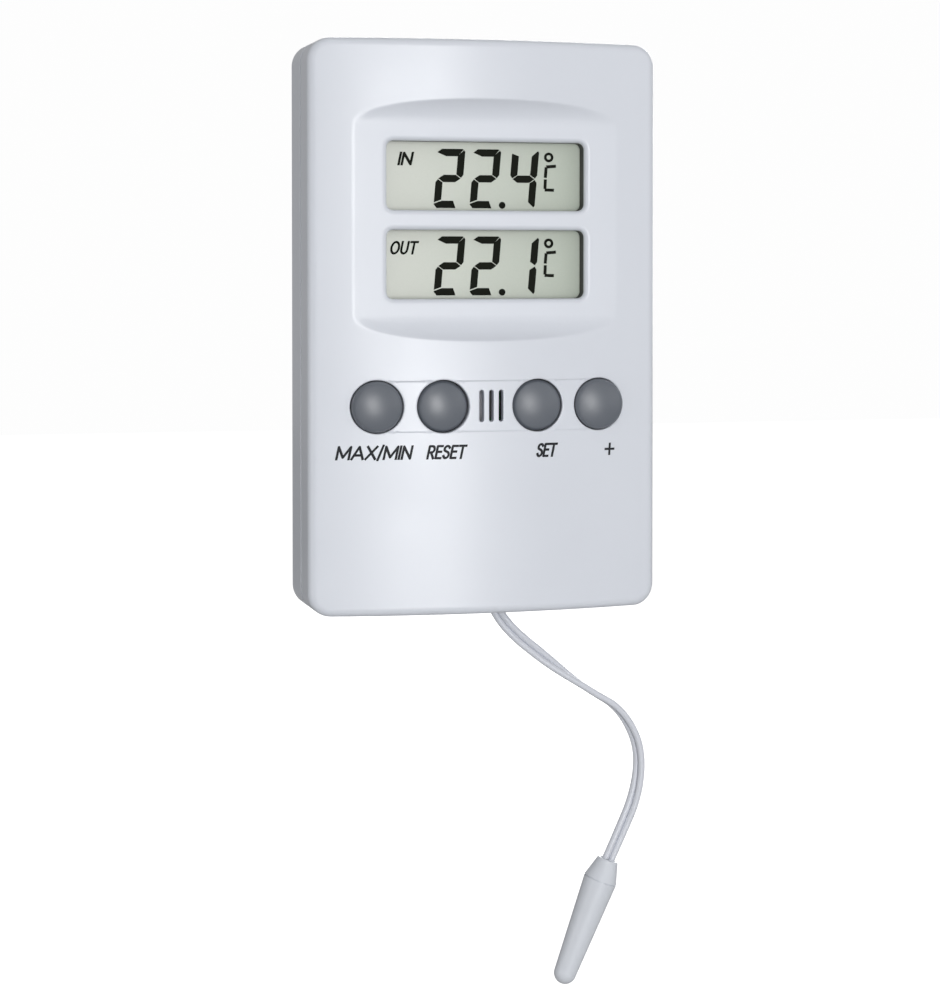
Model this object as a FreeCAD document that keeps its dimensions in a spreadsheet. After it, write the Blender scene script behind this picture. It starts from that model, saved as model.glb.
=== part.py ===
"""Maximum minimum thermometer: a wall or desk thermometer with two readings and a probe on a lead.

Millimetres. X runs to the right of the display, Y runs back towards the wall and Z runs up. The
origin is the centre of the keyhole's round hole, on the plane of the back. "Deep" is the distance
in front of that plane, so a depth of 10 is Y = -10. "Up" is a height above the face's centre.
"""
import FreeCAD, Part
import math
import os
import re

import Sketcher

SIZES = {
    # The two shells
    "case_w": (69.2, "width of the case"),
    "case_tall": (110.0, "height of the case"),
    "face_z": (-42.0, "height of the face's centre, measured from the keyhole"),
    "side_deep": (18.0, "depth of the case at its sides"),
    "crown_rise": (4.2, "how far the middle of the front stands proud of its sides"),
    "seam_deep": (10.0, "depth of the rear shell, up to the seam"),
    "seam_bevel": (0.3, "bevel on each shell's edge, which makes the seam a fine V"),
    "wall": (1.8, "wall of the front shell"),
    "back_wall": (2.0, "wall of the rear shell"),
    "corner_round": (4.3, "radius of the case's four corners"),
    "edge_round": (1.4, "radius round the front and rear edges"),
    # The display
    "panel_deep": (19.8, "depth of the flat display panel"),
    "panel_up": (20.5, "height of the panel's middle"),
    "panel_half": (23.1, "half the height of the panel, to the top of its scooped end"),
    "panel_fall": (2.4, "how far the panel lies under the top of the crown"),
    "scoop_round": (6.62, "radius of the scooped ends"),
    "window_half": (19.65, "half the width of each window"),
    "window_tall": (13.16, "height of each window"),
    "in_up": (29.0, "height of the upper window's middle"),
    "out_up": (12.05, "height of the lower window's middle"),
    "window_corner": (1.3, "radius of the windows' corners"),
    "window_lip": (0.9, "radius round the windows' front edges"),
    "lip_deep": (18.8, "depth at which the lip round each window ends"),
    "frame_half": (23.0, "half the width of the black display frame"),
    "frame_low": (1.9, "height of the frame's lower edge"),
    "frame_high": (39.1, "height of the frame's upper edge"),
    "glass_deep": (16.3, "depth of the front of the display glass"),
    "glass_half": (22.0, "half the width of the display glass"),
    "film": (0.2, "thickness of the polariser and of the reflector"),
    "glass": (0.7, "thickness of each sheet of glass"),
    "slack": (0.1, "clearance round a part that sits in a pocket"),
    # Buttons and sounder
    "key_up": (-15.05, "height of the row of buttons"),
    "key_maxmin": (-21.8, "X of the MAX/MIN button"),
    "key_reset": (-9.12, "X of the RESET button"),
    "key_set": (9.55, "X of the SET button"),
    "key_plus": (22.2, "X of the + button"),
    "key_round": (4.93, "radius of a button"),
    "key_gap": (0.15, "gap round a button"),
    "key_top": (22.15, "depth of the top of a button's dome"),
    "key_rim": (21.4, "depth of a button's rim, under its rounded edge"),
    "key_draft": (0.33, "how much smaller a button is at its rim than in its hole"),
    "key_flange": (5.6, "radius of the flange that keeps a button in"),
    "flange_deep": (17.6, "depth of the front of that flange"),
    "flange": (0.8, "thickness of that flange"),
    "stem_round": (2.2, "radius of a button's stem and of its rubber post"),
    "mat_deep": (15.7, "depth of the front of the rubber mats"),
    "mat": (0.8, "thickness of the rubber mats"),
    "pill": (0.4, "thickness of a carbon contact pill"),
    "key_travel": (0.9, "how far a button goes in"),
    "band_tall": (10.0, "height of the shallow band behind the buttons"),
    "band_sunk": (0.2, "how deep that band is sunk"),
    "slot_wide": (0.9, "width of a sound slot"),
    "slot_tall": (6.1, "length of a sound slot"),
    "slot_pitch": (1.92, "distance from one sound slot to the next"),
    "slot_x": (0.25, "X of the middle sound slot"),
    # Board
    "board_deep": (12.4, "depth of the front of the circuit board"),
    "board": (1.6, "thickness of the circuit board"),
    "board_half": (27.0, "half the width of the circuit board"),
    "board_low": (-24.0, "height of the board's lower edge"),
    "board_high": (41.0, "height of the board's upper edge"),
    "board_screw_x": (25.2, "X of the board's screws"),
    "board_screw_low": (-22.2, "height of the board's lower screws"),
    "board_screw_high": (38.9, "height of the board's upper screws"),
    # Battery
    "cell_round": (5.25, "radius of the AAA cell"),
    "cell_long": (43.6, "length of the cell without its pip"),
    "cell_deep": (7.6, "depth of the cell's axis"),
    "cell_up": (-35.6, "height of the cell's axis"),
    "cell_left": (-20.6, "X of the cell's flat end"),
    "bay_half": (24.8, "half the length of the battery bay"),
    "bay_tall": (11.2, "height of the battery bay"),
    "bay_deep": (13.1, "depth of the bay's floor"),
    "bay_wall": (1.2, "wall of the battery bay"),
    "door_half": (25.6, "half the length of the battery door"),
    "door_tall": (14.4, "height of the battery door"),
    "door": (1.5, "thickness of the battery door"),
    # Stand
    "stand_up": (-10.0, "height of the stand's pivot"),
    "stand_deep": (1.8, "depth of the stand's pivot"),
    "stand_head": (1.4, "how far an arm goes on past its pivot"),
    "stand_in": (27.6, "X of the inner side of an arm"),
    "stand_out": (30.4, "X of the outer side of an arm"),
    "stand_thick": (2.6, "thickness of the stand"),
    "stand_foot": (-46.7, "height of the lower edge of the stand's crossbar"),
    "stand_bar": (2.7, "width of the crossbar"),
    "stand_gap": (0.35, "gap between the stand and its groove"),
    "groove_deep": (3.6, "depth of the stand's groove"),
    "pivot_round": (1.1, "radius of the stand's pivot pins"),
    "pivot_long": (1.2, "length of a pivot pin"),
    # Screws
    "screw_x": (29.6, "X of the upper case screws"),
    "screw_high": (49.2, "height of the upper case screws"),
    "screw_low_x": (22.0, "X of the lower case screws"),
    "screw_low": (-50.2, "height of the lower case screws"),
    "screw_round": (1.1, "radius of a case screw's thread"),
    "head_round": (2.0, "radius of a case screw's head"),
    "boss_round": (2.9, "radius of the screw bosses"),
    # Keyhole
    "key_hole": (4.0, "radius of the keyhole's round hole"),
    "key_slot": (4.2, "width of the keyhole's slot"),
    "key_rise": (6.6, "height of the slot's end over the round hole"),
    # Vents
    "vent_high": (30.0, "height of the lower edge of the top vent"),
    "vent_pitch": (2.6, "distance from one vent to the next"),
    "vent_tall": (1.2, "height of a vent"),
    "vent_left": (-27.0, "X of the vents' left ends"),
    "vent_long": (11.0, "length of a vent"),
    # Lead and probe
    "lead_round": (1.05, "radius of the probe's lead"),
    "lead_x": (4.3, "X of the middle of the hole for the lead"),
    "lead_deep": (6.0, "depth of the lead's middle where it leaves the case"),
    "lead_hole": (1.6, "radius of the ends of the hole for the lead"),
    "lead_slant": (0.7, "half the distance between the centres of those ends"),
    "probe_x": (29.0, "X of the top of the probe's cap"),
    "probe_up": (-108.05, "height of the top of the probe's cap"),
    "probe_lean": (22.0, "how far the probe leans to the left, in degrees"),
    "cap_top": (2.2, "radius of the top of the probe's cap"),
    "cap_base": (3.38, "radius of the probe at its parting line"),
    "cap_bore": (1.5, "radius of the bore for the lead in the probe's cap"),
    "cap_long": (4.4, "length of the probe's cap"),
    "tip_round": (2.25, "radius of the probe's tip"),
    "probe_long": (26.4, "length of the probe with its cap"),
    "joint_deep": (0.25, "depth of the groove at the probe's parting line"),
    "joint_half": (0.1, "half the width of that groove"),
    "probe_wall": (0.8, "wall of the probe's body"),
}

doc = FreeCAD.newDocument("thermometer")
sheet = doc.addObject("Spreadsheet::Sheet", "Sizes")
for row, (alias, (size, meaning)) in enumerate(SIZES.items(), start=1):
    sheet.set(f"A{row}", meaning)
    sheet.set(f"B{row}", str(size))
    sheet.setAlias(f"B{row}", alias)
doc.recompute()

SCREWS = [("-screw_x", "screw_high"), ("screw_x", "screw_high"), ("-screw_low_x", "screw_low"),
          ("screw_low_x", "screw_low")]
BOARD_SCREWS = [("-board_screw_x", "board_screw_high"), ("board_screw_x", "board_screw_high"),
                ("-board_screw_x", "board_screw_low"), ("board_screw_x", "board_screw_low")]

PIECES = []


# ---- Small helpers that tie the model to the sheet ----

def linked(text):
    """A formula in the sheet's aliases, as an expression that any object can use."""
    return re.sub(r"[a-z_][a-z0-9_]*",
                  lambda word: ("Sizes." if word[0] in SIZES else "") + word[0], str(text))


def worth(text):
    """What a formula comes to now, for the first shape of a sketch."""
    return float(sheet.evalExpression(linked(text)))


def bind(thing, **formulas):
    for name, text in formulas.items():
        thing.setExpression(name.replace("__", "."), linked(text))


def put(thing, x="0", y="0", z="0"):
    for axis, text in zip("xyz", (x, y, z)):
        thing.setExpression("Placement.Base." + axis, linked(text))


def keep(thing, label):
    """Marks a finished sub-part, which gets a file of its own."""
    thing.Label = label
    PIECES.append(thing)
    return thing


def at(up):
    """A height above the face's centre, as Z."""
    return f"face_z + ({up})"


# ---- Part primitives ----

def block(name, x, deep, up):
    """A box between two X, two depths and two heights."""
    box = doc.addObject("Part::Box", name)
    bind(box, Length=f"({x[1]}) - ({x[0]})", Width=f"({deep[1]}) - ({deep[0]})",
         Height=f"({up[1]}) - ({up[0]})")
    put(box, x[0], f"-({deep[1]})", at(up[0]))
    return box


AXES = {
    "x": FreeCAD.Rotation(FreeCAD.Vector(0, 1, 0), 90),
    "front": FreeCAD.Rotation(FreeCAD.Vector(1, 0, 0), 90),
    "z": FreeCAD.Rotation(),
}


def rod(name, axis, x, deep, up, radius, long):
    """A cylinder that starts at a point and runs along X, towards the front or up."""
    cylinder = doc.addObject("Part::Cylinder", name)
    bind(cylinder, Radius=radius, Height=long)
    cylinder.Placement = FreeCAD.Placement(FreeCAD.Vector(), AXES[axis])
    put(cylinder, x, f"-({deep})", at(up))
    return cylinder


def cut(name, base, *tools):
    whole = doc.addObject("Part::Cut", name)
    whole.Base = base
    whole.Tool = tools[0] if len(tools) == 1 else join(name + "_tools", *tools)
    return whole


def join(name, *pieces):
    whole = doc.addObject("Part::MultiFuse", name)
    whole.Shapes = list(pieces)
    return whole


def group(name, *pieces):
    """Separate solids that share one name."""
    whole = doc.addObject("Part::Compound", name)
    whole.Links = list(pieces)
    return whole


def edges_where(shape, test):
    return [i for i, edge in enumerate(shape.Edges, start=1) if test(edge)]


# ---- Bodies with sketches ----

def new_body(label):
    return keep(doc.addObject("PartDesign::Body", label + "_body"), label)


def new_sketch(body, plane, level, x="0", y="0"):
    """A sketch on one of the body's own planes: XY from above, XZ from the front, YZ from the right.
    From the front, the level is a depth, and features grow towards the front. x and y move its origin."""
    origin = next(f for f in body.Origin.OriginFeatures if f.Role == plane + "_Plane")
    sketch = body.newObject("Sketcher::SketchObject", "Sketch")
    sketch.AttachmentSupport = (origin, "")
    sketch.MapMode = "FlatFace"
    for axis, text in zip("xyz", (x, y, level)):
        sketch.setExpression("AttachmentOffset.Base." + axis, linked(text))
    return sketch


def pin_point(sketch, geometry, end, x, y):
    """Ties one end of a line or arc, or a centre, to two formulas."""
    for kind, text in (("DistanceX", x), ("DistanceY", y)):
        index = sketch.addConstraint(Sketcher.Constraint(kind, -1, 1, geometry, end, worth(text)))
        sketch.setExpression(f"Constraints[{index}]", linked(text))


def turning_arc(start, middle, end):
    """An arc through three points, drawn anticlockwise, and whether that turned it end for end."""
    turned = (middle - start).cross(end - middle).z < 0
    shape = Part.Arc(start, middle, end).toShape().Curve
    first, last = (end, start) if turned else (start, end)
    angles = [math.atan2(p.y - shape.Center.y, p.x - shape.Center.x) for p in (first, last)]
    if angles[1] < angles[0]:
        angles[1] += 2 * math.pi
    circle = Part.Circle(shape.Center, FreeCAD.Vector(0, 0, 1), shape.Radius)
    return Part.ArcOfCircle(circle, *angles), turned


def draw_outline(sketch, corners, bulges=None):
    """A closed outline. bulges gives, for a side by its number, a point that its arc goes through."""
    bulges = bulges or {}
    points = [FreeCAD.Vector(worth(x), worth(y), 0) for x, y in corners]
    first = sketch.GeometryCount
    count = len(corners)
    starts = []
    for i, start in enumerate(points):
        end = points[(i + 1) % count]
        side, turned = Part.LineSegment(start, end), False
        if i in bulges:
            side, turned = turning_arc(start, FreeCAD.Vector(*map(worth, bulges[i]), 0), end)
        sketch.addGeometry(side, False)
        starts.append(2 if turned else 1)
    for i, corner in enumerate(corners):
        pin_point(sketch, first + i, starts[i], *corner)
        following = (i + 1) % count
        sketch.addConstraint(Sketcher.Constraint(
            "Coincident", first + i, 3 - starts[i], first + following, starts[following]))
    for i, through in bulges.items():
        spot = sketch.addGeometry(Part.Point(FreeCAD.Vector(*map(worth, through), 0)), True)
        pin_point(sketch, spot, 1, *through)
        sketch.addConstraint(Sketcher.Constraint("PointOnObject", spot, 1, first + i))
    return sketch


def draw_rectangle(sketch, x, y):
    return draw_outline(sketch, [(x[0], y[0]), (x[1], y[0]), (x[1], y[1]), (x[0], y[1])])


def draw_circle(sketch, x, y, radius):
    centre = FreeCAD.Vector(worth(x), worth(y), 0)
    circle = sketch.addGeometry(Part.Circle(centre, FreeCAD.Vector(0, 0, 1), worth(radius)), False)
    pin_point(sketch, circle, 3, x, y)
    index = sketch.addConstraint(Sketcher.Constraint("Radius", circle, worth(radius)))
    sketch.setExpression(f"Constraints[{index}]", linked(radius))
    return sketch


def draw_slot(sketch, x, low, high, radius):
    """An upright slot with round ends, between the centres of its ends."""
    left, right = f"({x}) - ({radius})", f"({x}) + ({radius})"
    return draw_outline(sketch, [(left, low), (right, low), (right, high), (left, high)],
                        {0: (x, f"({low}) - ({radius})"), 2: (x, f"({high}) + ({radius})")})


def pad(body, sketch, long, both_ways=False):
    feature = body.newObject("PartDesign::Pad", "Pad")
    feature.Profile = sketch
    feature.Midplane = both_ways
    bind(feature, Length=long)
    doc.recompute()
    return feature


def pocket(body, sketch, long, both_ways=False, to_front=False):
    """Cuts towards the back from a sketch seen from the front, unless to_front turns it round."""
    before = body.Shape.Volume
    feature = body.newObject("PartDesign::Pocket", "Pocket")
    feature.Profile = sketch
    feature.Midplane = both_ways
    feature.Reversed = to_front
    bind(feature, Length=long)
    doc.recompute()
    if not body.Shape.Volume < before - 1e-3:
        raise RuntimeError(f"{body.Label}: {feature.Name} cut nothing")
    return feature


def revolve(body, sketch, axis):
    """Turns an outline about the sketch's own H_Axis or V_Axis."""
    feature = body.newObject("PartDesign::Revolution", "Revolution")
    feature.Profile = sketch
    feature.ReferenceAxis = (sketch, [axis])
    doc.recompute()
    return feature


def soften(body, radius, test, kind="Fillet"):
    """Rounds or bevels the edges of the body that pass the test."""
    base = body.Tip
    picked = [f"Edge{i}" for i in edges_where(base.Shape, test)]
    if not picked:
        raise RuntimeError(f"{body.Label}: no edge to soften")
    feature = body.newObject("PartDesign::" + kind, kind)
    feature.Base = (base, picked)
    bind(feature, **({"Radius": radius} if kind == "Fillet" else {"Size": radius}))
    doc.recompute()
    return feature


def runs_back(edge, least=0.0):
    box = edge.BoundBox
    return box.YLength > max(least, 1e-3) and box.XLength < 1e-6 and box.ZLength < 1e-6


def lies_at(edge, deep):
    box = edge.BoundBox
    return abs(box.YMin + deep) < 1e-4 and abs(box.YMax + deep) < 1e-4


def is_outline(edge, slack=1e-4):
    """True on an edge that lies in the case's outer sides."""
    box = edge.BoundBox
    half = worth("case_w / 2") - slack
    top = worth("face_z + case_tall / 2") - slack
    low = worth("face_z - case_tall / 2") + slack
    return box.XMin > half or box.XMax < -half or box.ZMin > top or box.ZMax < low


# ---- Front shell ----

KEYS = {"maxmin": "key_maxmin", "reset": "key_reset", "set": "key_set", "plus": "key_plus"}
WINDOWS = ("in_up", "out_up")
CROWN_ROUND = "((case_w ^ 2 / 4 + crown_rise ^ 2) / (2 * crown_rise))"


def crown(x, under="0"):
    """How deep the crown is at an X, or a surface that lies under it all over."""
    rounding = f"({CROWN_ROUND} - ({under}))"
    return f"(side_deep + crown_rise - {CROWN_ROUND} + sqrt({rounding} ^ 2 - ({x}) ^ 2))"


def crowned_outline(sketch, left, right, back, under):
    """Seen from above: straight sides and back, and a front that follows the crown."""
    middle = f"(({left}) + ({right})) / 2"
    return draw_outline(
        sketch,
        [(left, f"-({back})"), (right, f"-({back})"), (right, "-" + crown(right, under)),
         (left, "-" + crown(left, under))],
        {2: (middle, "-" + crown(middle, under))})


def panel_outline(sketch):
    """Seen from the right: the flat display panel and the scooped ends over and under it. They cut
    through the crown, so the panel's sides are where the flat meets the crown."""
    floor = "-panel_deep"
    top = "-panel_deep - panel_fall"
    outside = "-side_deep - 2 * crown_rise"
    low, high = at("panel_up - panel_half"), at("panel_up + panel_half")
    reach = "sqrt(scoop_round ^ 2 - (scoop_round - panel_fall) ^ 2)"
    half_turn = f"(0.5 * asin({reach} / scoop_round))"
    along = f"scoop_round * sin({half_turn})"
    rise = f"scoop_round * (1 - cos({half_turn}))"
    return draw_outline(
        sketch,
        [(top, low), (floor, f"{low} + {reach}"), (floor, f"{high} - {reach}"), (top, high),
         (outside, high), (outside, low)],
        {0: (f"{floor} - {rise}", f"{low} + {reach} - {along}"),
         2: (f"{floor} - {rise}", f"{high} - {reach} + {along}")})


def build_front_case():
    body = new_body("front_case")
    half = "case_w / 2"
    inner = "(case_w / 2 - wall)"
    outer = crowned_outline(new_sketch(body, "XY", "face_z"), f"-{half}", half, "seam_deep", "0")
    pad(body, outer, "case_tall", both_ways=True)
    soften(body, "corner_round", lambda e: runs_back(e, 5))
    front = worth("side_deep") - 0.5
    soften(body, "edge_round", lambda e: e.BoundBox.YMax < -front and not runs_back(e))
    hollow = crowned_outline(new_sketch(body, "XY", "face_z"), f"-{inner}", inner, "seam_deep - 1", "wall")
    pocket(body, hollow, "case_tall - 2 * wall", both_ways=True)
    inside = worth("case_w / 2 - wall")
    soften(body, "corner_round - wall", lambda e: runs_back(e, 5)
           and abs(abs(e.BoundBox.XMax) - inside) < 1e-4)
    backing = crowned_outline(new_sketch(body, "XY", at("panel_up")), "-frame_half - 4.5",
                              "frame_half + 4.5", "panel_deep - wall", "wall / 4")
    pad(body, backing, "2 * panel_half + wall", both_ways=True)
    pocket(body, panel_outline(new_sketch(body, "YZ", "0")), "case_w", both_ways=True)
    bed = draw_rectangle(new_sketch(body, "XZ", "lip_deep"), ("-frame_half - slack", "frame_half + slack"),
                         (at("frame_low - slack"), at("frame_high + slack")))
    pocket(body, bed, "wall")
    for up in WINDOWS:
        window = draw_rectangle(new_sketch(body, "XZ", "side_deep + 2 * crown_rise"),
                                ("-window_half", "window_half"),
                                (at(f"{up} - window_tall / 2"), at(f"{up} + window_tall / 2")))
        pocket(body, window, "case_w / 4")
    window_half = worth("window_half")
    soften(body, "window_corner", lambda e: runs_back(e)
           and abs(abs(e.BoundBox.XMax) - window_half) < 1e-4)
    floor = worth("panel_deep")
    soften(body, "window_lip", lambda e: lies_at(e, floor)
           and max(abs(e.BoundBox.XMin), abs(e.BoundBox.XMax)) < window_half + 1e-3)
    for key in KEYS.values():
        hole = draw_circle(new_sketch(body, "XZ", "side_deep + 2 * crown_rise"), key, at("key_up"),
                           "key_round + key_gap")
        pocket(body, hole, "case_w / 4")
    for step in (-1, 0, 1):
        x = f"slot_x + ({step}) * slot_pitch"
        reach = "(slot_tall - slot_wide) / 2"
        slot = draw_slot(new_sketch(body, "XZ", "side_deep + 2 * crown_rise"), x,
                         at(f"key_up - {reach}"), at(f"key_up + {reach}"), "slot_wide / 2")
        pocket(body, slot, "case_w / 4")
    band = draw_outline(
        new_sketch(body, "XY", at("key_up")),
        [("key_maxmin", "-" + crown("key_maxmin", "band_sunk")),
         ("key_plus", "-" + crown("key_plus", "band_sunk")),
         ("key_plus", "-side_deep - 2 * crown_rise"), ("key_maxmin", "-side_deep - 2 * crown_rise")],
        {0: ("0", "-" + crown("0", "band_sunk"))})
    pocket(body, band, "band_tall", both_ways=True)
    for x, up in SCREWS:
        post = draw_circle(new_sketch(body, "XZ", "seam_deep"), x, at(up), "boss_round")
        pad(body, post, f"{crown(x)} - seam_deep - wall / 2")
        hole = draw_circle(new_sketch(body, "XZ", "side_deep - wall"), x, at(up), "screw_round + 0.05")
        pocket(body, hole, "side_deep")
    for x, up in BOARD_SCREWS:
        post = draw_circle(new_sketch(body, "XZ", "board_deep"), x, at(up), "1.9")
        pad(body, post, f"{crown(x)} - board_deep - wall / 2")
        hole = draw_circle(new_sketch(body, "XZ", "side_deep - wall"), x, at(up), "0.85")
        pocket(body, hole, "side_deep")
    seam = worth("seam_deep")
    soften(body, "seam_bevel", lambda e: lies_at(e, seam) and is_outline(e), kind="Chamfer")
    return body


# ---- Rear shell ----

def build_rear_case():
    body = new_body("rear_case")
    half = "case_w / 2"
    top, low = at("case_tall / 2"), at("-case_tall / 2")
    tray = draw_rectangle(new_sketch(body, "XZ", "0"), (f"-{half}", half), (low, top))
    pad(body, tray, "seam_deep")
    soften(body, "corner_round", lambda e: runs_back(e, 5))
    soften(body, "edge_round", lambda e: lies_at(e, 0))
    hollow = draw_rectangle(new_sketch(body, "XZ", "seam_deep"),
                            (f"-{half} + back_wall", f"{half} - back_wall"),
                            (f"{low} + back_wall", f"{top} - back_wall"))
    pocket(body, hollow, "seam_deep - back_wall")
    inside = worth(f"{half} - back_wall")
    soften(body, "corner_round - back_wall", lambda e: runs_back(e, 5)
           and abs(abs(e.BoundBox.XMax) - inside) < 1e-4)
    bay_low, bay_high = "cell_up - bay_tall / 2", "cell_up + bay_tall / 2"
    bay = draw_rectangle(new_sketch(body, "XZ", "0.5"), ("-bay_half - bay_wall", "bay_half + bay_wall"),
                         (at(f"{bay_low} - bay_wall"), at(f"{bay_high} + bay_wall")))
    pad(body, bay, "bay_deep + bay_wall - 0.5")
    wide = "(stand_gap + bay_wall)"
    arm_top = at(f"stand_up + stand_head + {wide}")
    arm_low = at(f"{bay_low} + 1")
    trough = draw_outline(
        new_sketch(body, "XZ", "0.5"),
        [(f"-stand_out - {wide}", at(f"stand_foot - {wide}")),
         (f"stand_out + {wide}", at(f"stand_foot - {wide}")),
         (f"stand_out + {wide}", arm_top), (f"stand_in - {wide}", arm_top),
         (f"stand_in - {wide}", arm_low), (f"-stand_in + {wide}", arm_low),
         (f"-stand_in + {wide}", arm_top), (f"-stand_out - {wide}", arm_top)])
    pad(body, trough, "groove_deep + bay_wall - 0.5")
    for x, up in SCREWS:
        boss = draw_circle(new_sketch(body, "XZ", "0.5"), x, at(up), "boss_round")
        pad(body, boss, "seam_deep - 0.5")
    inner_bay = draw_rectangle(new_sketch(body, "XZ", "bay_deep"), ("-bay_half", "bay_half"),
                               (at(bay_low), at(bay_high)))
    pocket(body, inner_bay, "bay_deep + 1")
    ledge = draw_rectangle(new_sketch(body, "XZ", "door"), ("-door_half - slack", "door_half + slack"),
                           (at("cell_up - door_tall / 2 - slack"), at("cell_up + door_tall / 2 + slack")))
    pocket(body, ledge, "door + 1")
    groove_top = at("stand_up + stand_head + stand_gap")
    groove_foot = at("stand_foot - stand_gap")
    groove_bar = at("stand_foot + stand_bar + stand_gap")
    groove = draw_outline(
        new_sketch(body, "XZ", "groove_deep"),
        [("-stand_out - stand_gap", groove_foot), ("stand_out + stand_gap", groove_foot),
         ("stand_out + stand_gap", groove_top), ("stand_in - stand_gap", groove_top),
         ("stand_in - stand_gap", groove_bar), ("-stand_in + stand_gap", groove_bar),
         ("-stand_in + stand_gap", groove_top), ("-stand_out - stand_gap", groove_top)])
    pocket(body, groove, "groove_deep + 1")
    pins = draw_circle(new_sketch(body, "YZ", "0"), "-stand_deep", at("stand_up"), "pivot_round + 0.1")
    pocket(body, pins, "2 * (stand_out + pivot_long + 0.1)", both_ways=True)
    for x, up in SCREWS:
        head = draw_circle(new_sketch(body, "XZ", "2.6"), x, at(up), "head_round + 0.3")
        pocket(body, head, "4")
        shank = draw_circle(new_sketch(body, "XZ", "seam_deep + 1"), x, at(up), "screw_round + 0.2")
        pocket(body, shank, "seam_deep + 2")
    entry = draw_circle(new_sketch(body, "XZ", "seam_deep"), "0", "0", "key_hole")
    pocket(body, entry, "seam_deep + 1")
    rise = draw_slot(new_sketch(body, "XZ", "seam_deep"), "0", "0", "key_rise", "key_slot / 2")
    pocket(body, rise, "seam_deep + 1")
    left, right = "lead_x - lead_slant", "lead_x + lead_slant"
    front, behind = "-lead_deep - lead_hole", "-lead_deep + lead_hole"
    lead = draw_outline(new_sketch(body, "XY", at("-case_tall / 2 + back_wall + 0.5")),
                        [(left, front), (right, front), (right, behind), (left, behind)],
                        {1: (f"{right} + lead_hole", "-lead_deep"), 3: (f"{left} - lead_hole", "-lead_deep")})
    pocket(body, lead, "back_wall + 2")
    wire_holes = draw_circle(new_sketch(body, "YZ", "0"), "-10.5", at("cell_up + 2.9"), "1.1")
    pocket(body, wire_holes, "2 * bay_half + 4 * bay_wall", both_ways=True)
    for row in range(4):
        up = f"vent_high - {row} * vent_pitch"
        vent = draw_rectangle(new_sketch(body, "XZ", "seam_deep"), ("vent_left", "vent_left + vent_long"),
                              (at(up), at(f"{up} + vent_tall")))
        pocket(body, vent, "seam_deep + 1")
    seam = worth("seam_deep")
    soften(body, "seam_bevel", lambda e: lies_at(e, seam) and is_outline(e), kind="Chamfer")
    return body


build_front_case()
build_rear_case()

# ---- Display ----

frame = new_body("display_frame")
plate = draw_rectangle(new_sketch(frame, "XZ", "glass_deep"), ("-frame_half", "frame_half"),
                       (at("frame_low"), at("frame_high")))
pad(frame, plate, "lip_deep - glass_deep")
for up in WINDOWS:
    window = draw_rectangle(new_sketch(frame, "XZ", "side_deep + 2 * crown_rise"),
                            ("-window_half", "window_half"),
                            (at(f"{up} - window_tall / 2"), at(f"{up} + window_tall / 2")))
    pocket(frame, window, "case_w / 4")
soften(frame, "window_corner", lambda e: runs_back(e)
       and abs(abs(e.BoundBox.XMax) - worth("window_half")) < 1e-4)

LAYERS = [
    ("display_polariser", "film", "frame_low + 1.4", "frame_high - 1.4", "glass_half - 0.6"),
    ("display_front_glass", "glass", "frame_low", "frame_high", "glass_half"),
    ("display_rear_glass", "glass", "frame_low + 2.2", "frame_high - 2.2", "glass_half"),
    ("display_reflector", "film", "frame_low + 2.8", "frame_high - 2.8", "glass_half - 0.6"),
]
front = "glass_deep"
for name, thick, low, high, half in LAYERS:
    behind = f"{front} - {thick}"
    keep(block(name + "_block", (f"-({half})", half), (behind, front), (low, high)), name)
    if name == "display_front_glass":
        ledge = behind
    front = behind
keep(group("strips", *(block("strip", ("-glass_half + 1", "glass_half - 1"), ("board_deep", ledge), ends)
                       for ends in (("frame_low + 0.3", "frame_low + 1.8"),
                                    ("frame_high - 1.8", "frame_high - 0.3")))),
     "rubber_connector_strips")

# ---- Circuit board ----

board = new_body("circuit_board")
plate = draw_rectangle(new_sketch(board, "XZ", "board_deep - board"), ("-board_half", "board_half"),
                       (at("board_low"), at("board_high")))
pad(board, plate, "board")
for x, up in BOARD_SCREWS:
    hole = draw_circle(new_sketch(board, "XZ", "board_deep"), x, at(up), "1.1")
    pocket(board, hole, "board + 1")
soften(board, "1.5", lambda e: runs_back(e) and abs(abs(e.BoundBox.XMax) - worth("board_half")) < 1e-4)

BOARD_BACK = "board_deep - board"


def screw(name, x, up, seat, radius, head, long):
    """A cross-head screw that goes in from the back: a domed head on its seat and a thread."""
    shank = rod(name + "_thread", "front", x, seat, up, radius, long)
    top = rod(name + "_head", "front", x, f"({seat}) - 1.4", up, head, "1.4")
    whole = join(name + "_blank", shank, top)
    slots = [block(name + "_cross", (f"({x}) - {a}", f"({x}) + {a}"), (f"({seat}) - 2", f"({seat}) - 0.7"),
                   (f"({up}) - {b}", f"({up}) + {b}")) for a, b in (("1.2", "0.2"), ("0.2", "1.2"))]
    return cut(name, whole, *slots)


keep(group("case_screw_set", *(screw("case_screw", x, up, "2.6", "screw_round", "head_round", "12")
                               for x, up in SCREWS)), "case_screws")
keep(group("board_screw_set", *(screw("board_screw", x, up, BOARD_BACK, "0.8", "1.6", "4.6")
                                for x, up in BOARD_SCREWS)), "board_screws")

blob = new_body("chip_cover")
dome = draw_outline(new_sketch(blob, "YZ", "2", f"-({BOARD_BACK})", at("12")),
                    [("0", "0"), ("1.3", "0"), ("0", "5")], {1: ("0.9", "3.2")})
revolve(blob, dome, "H_Axis")

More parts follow.
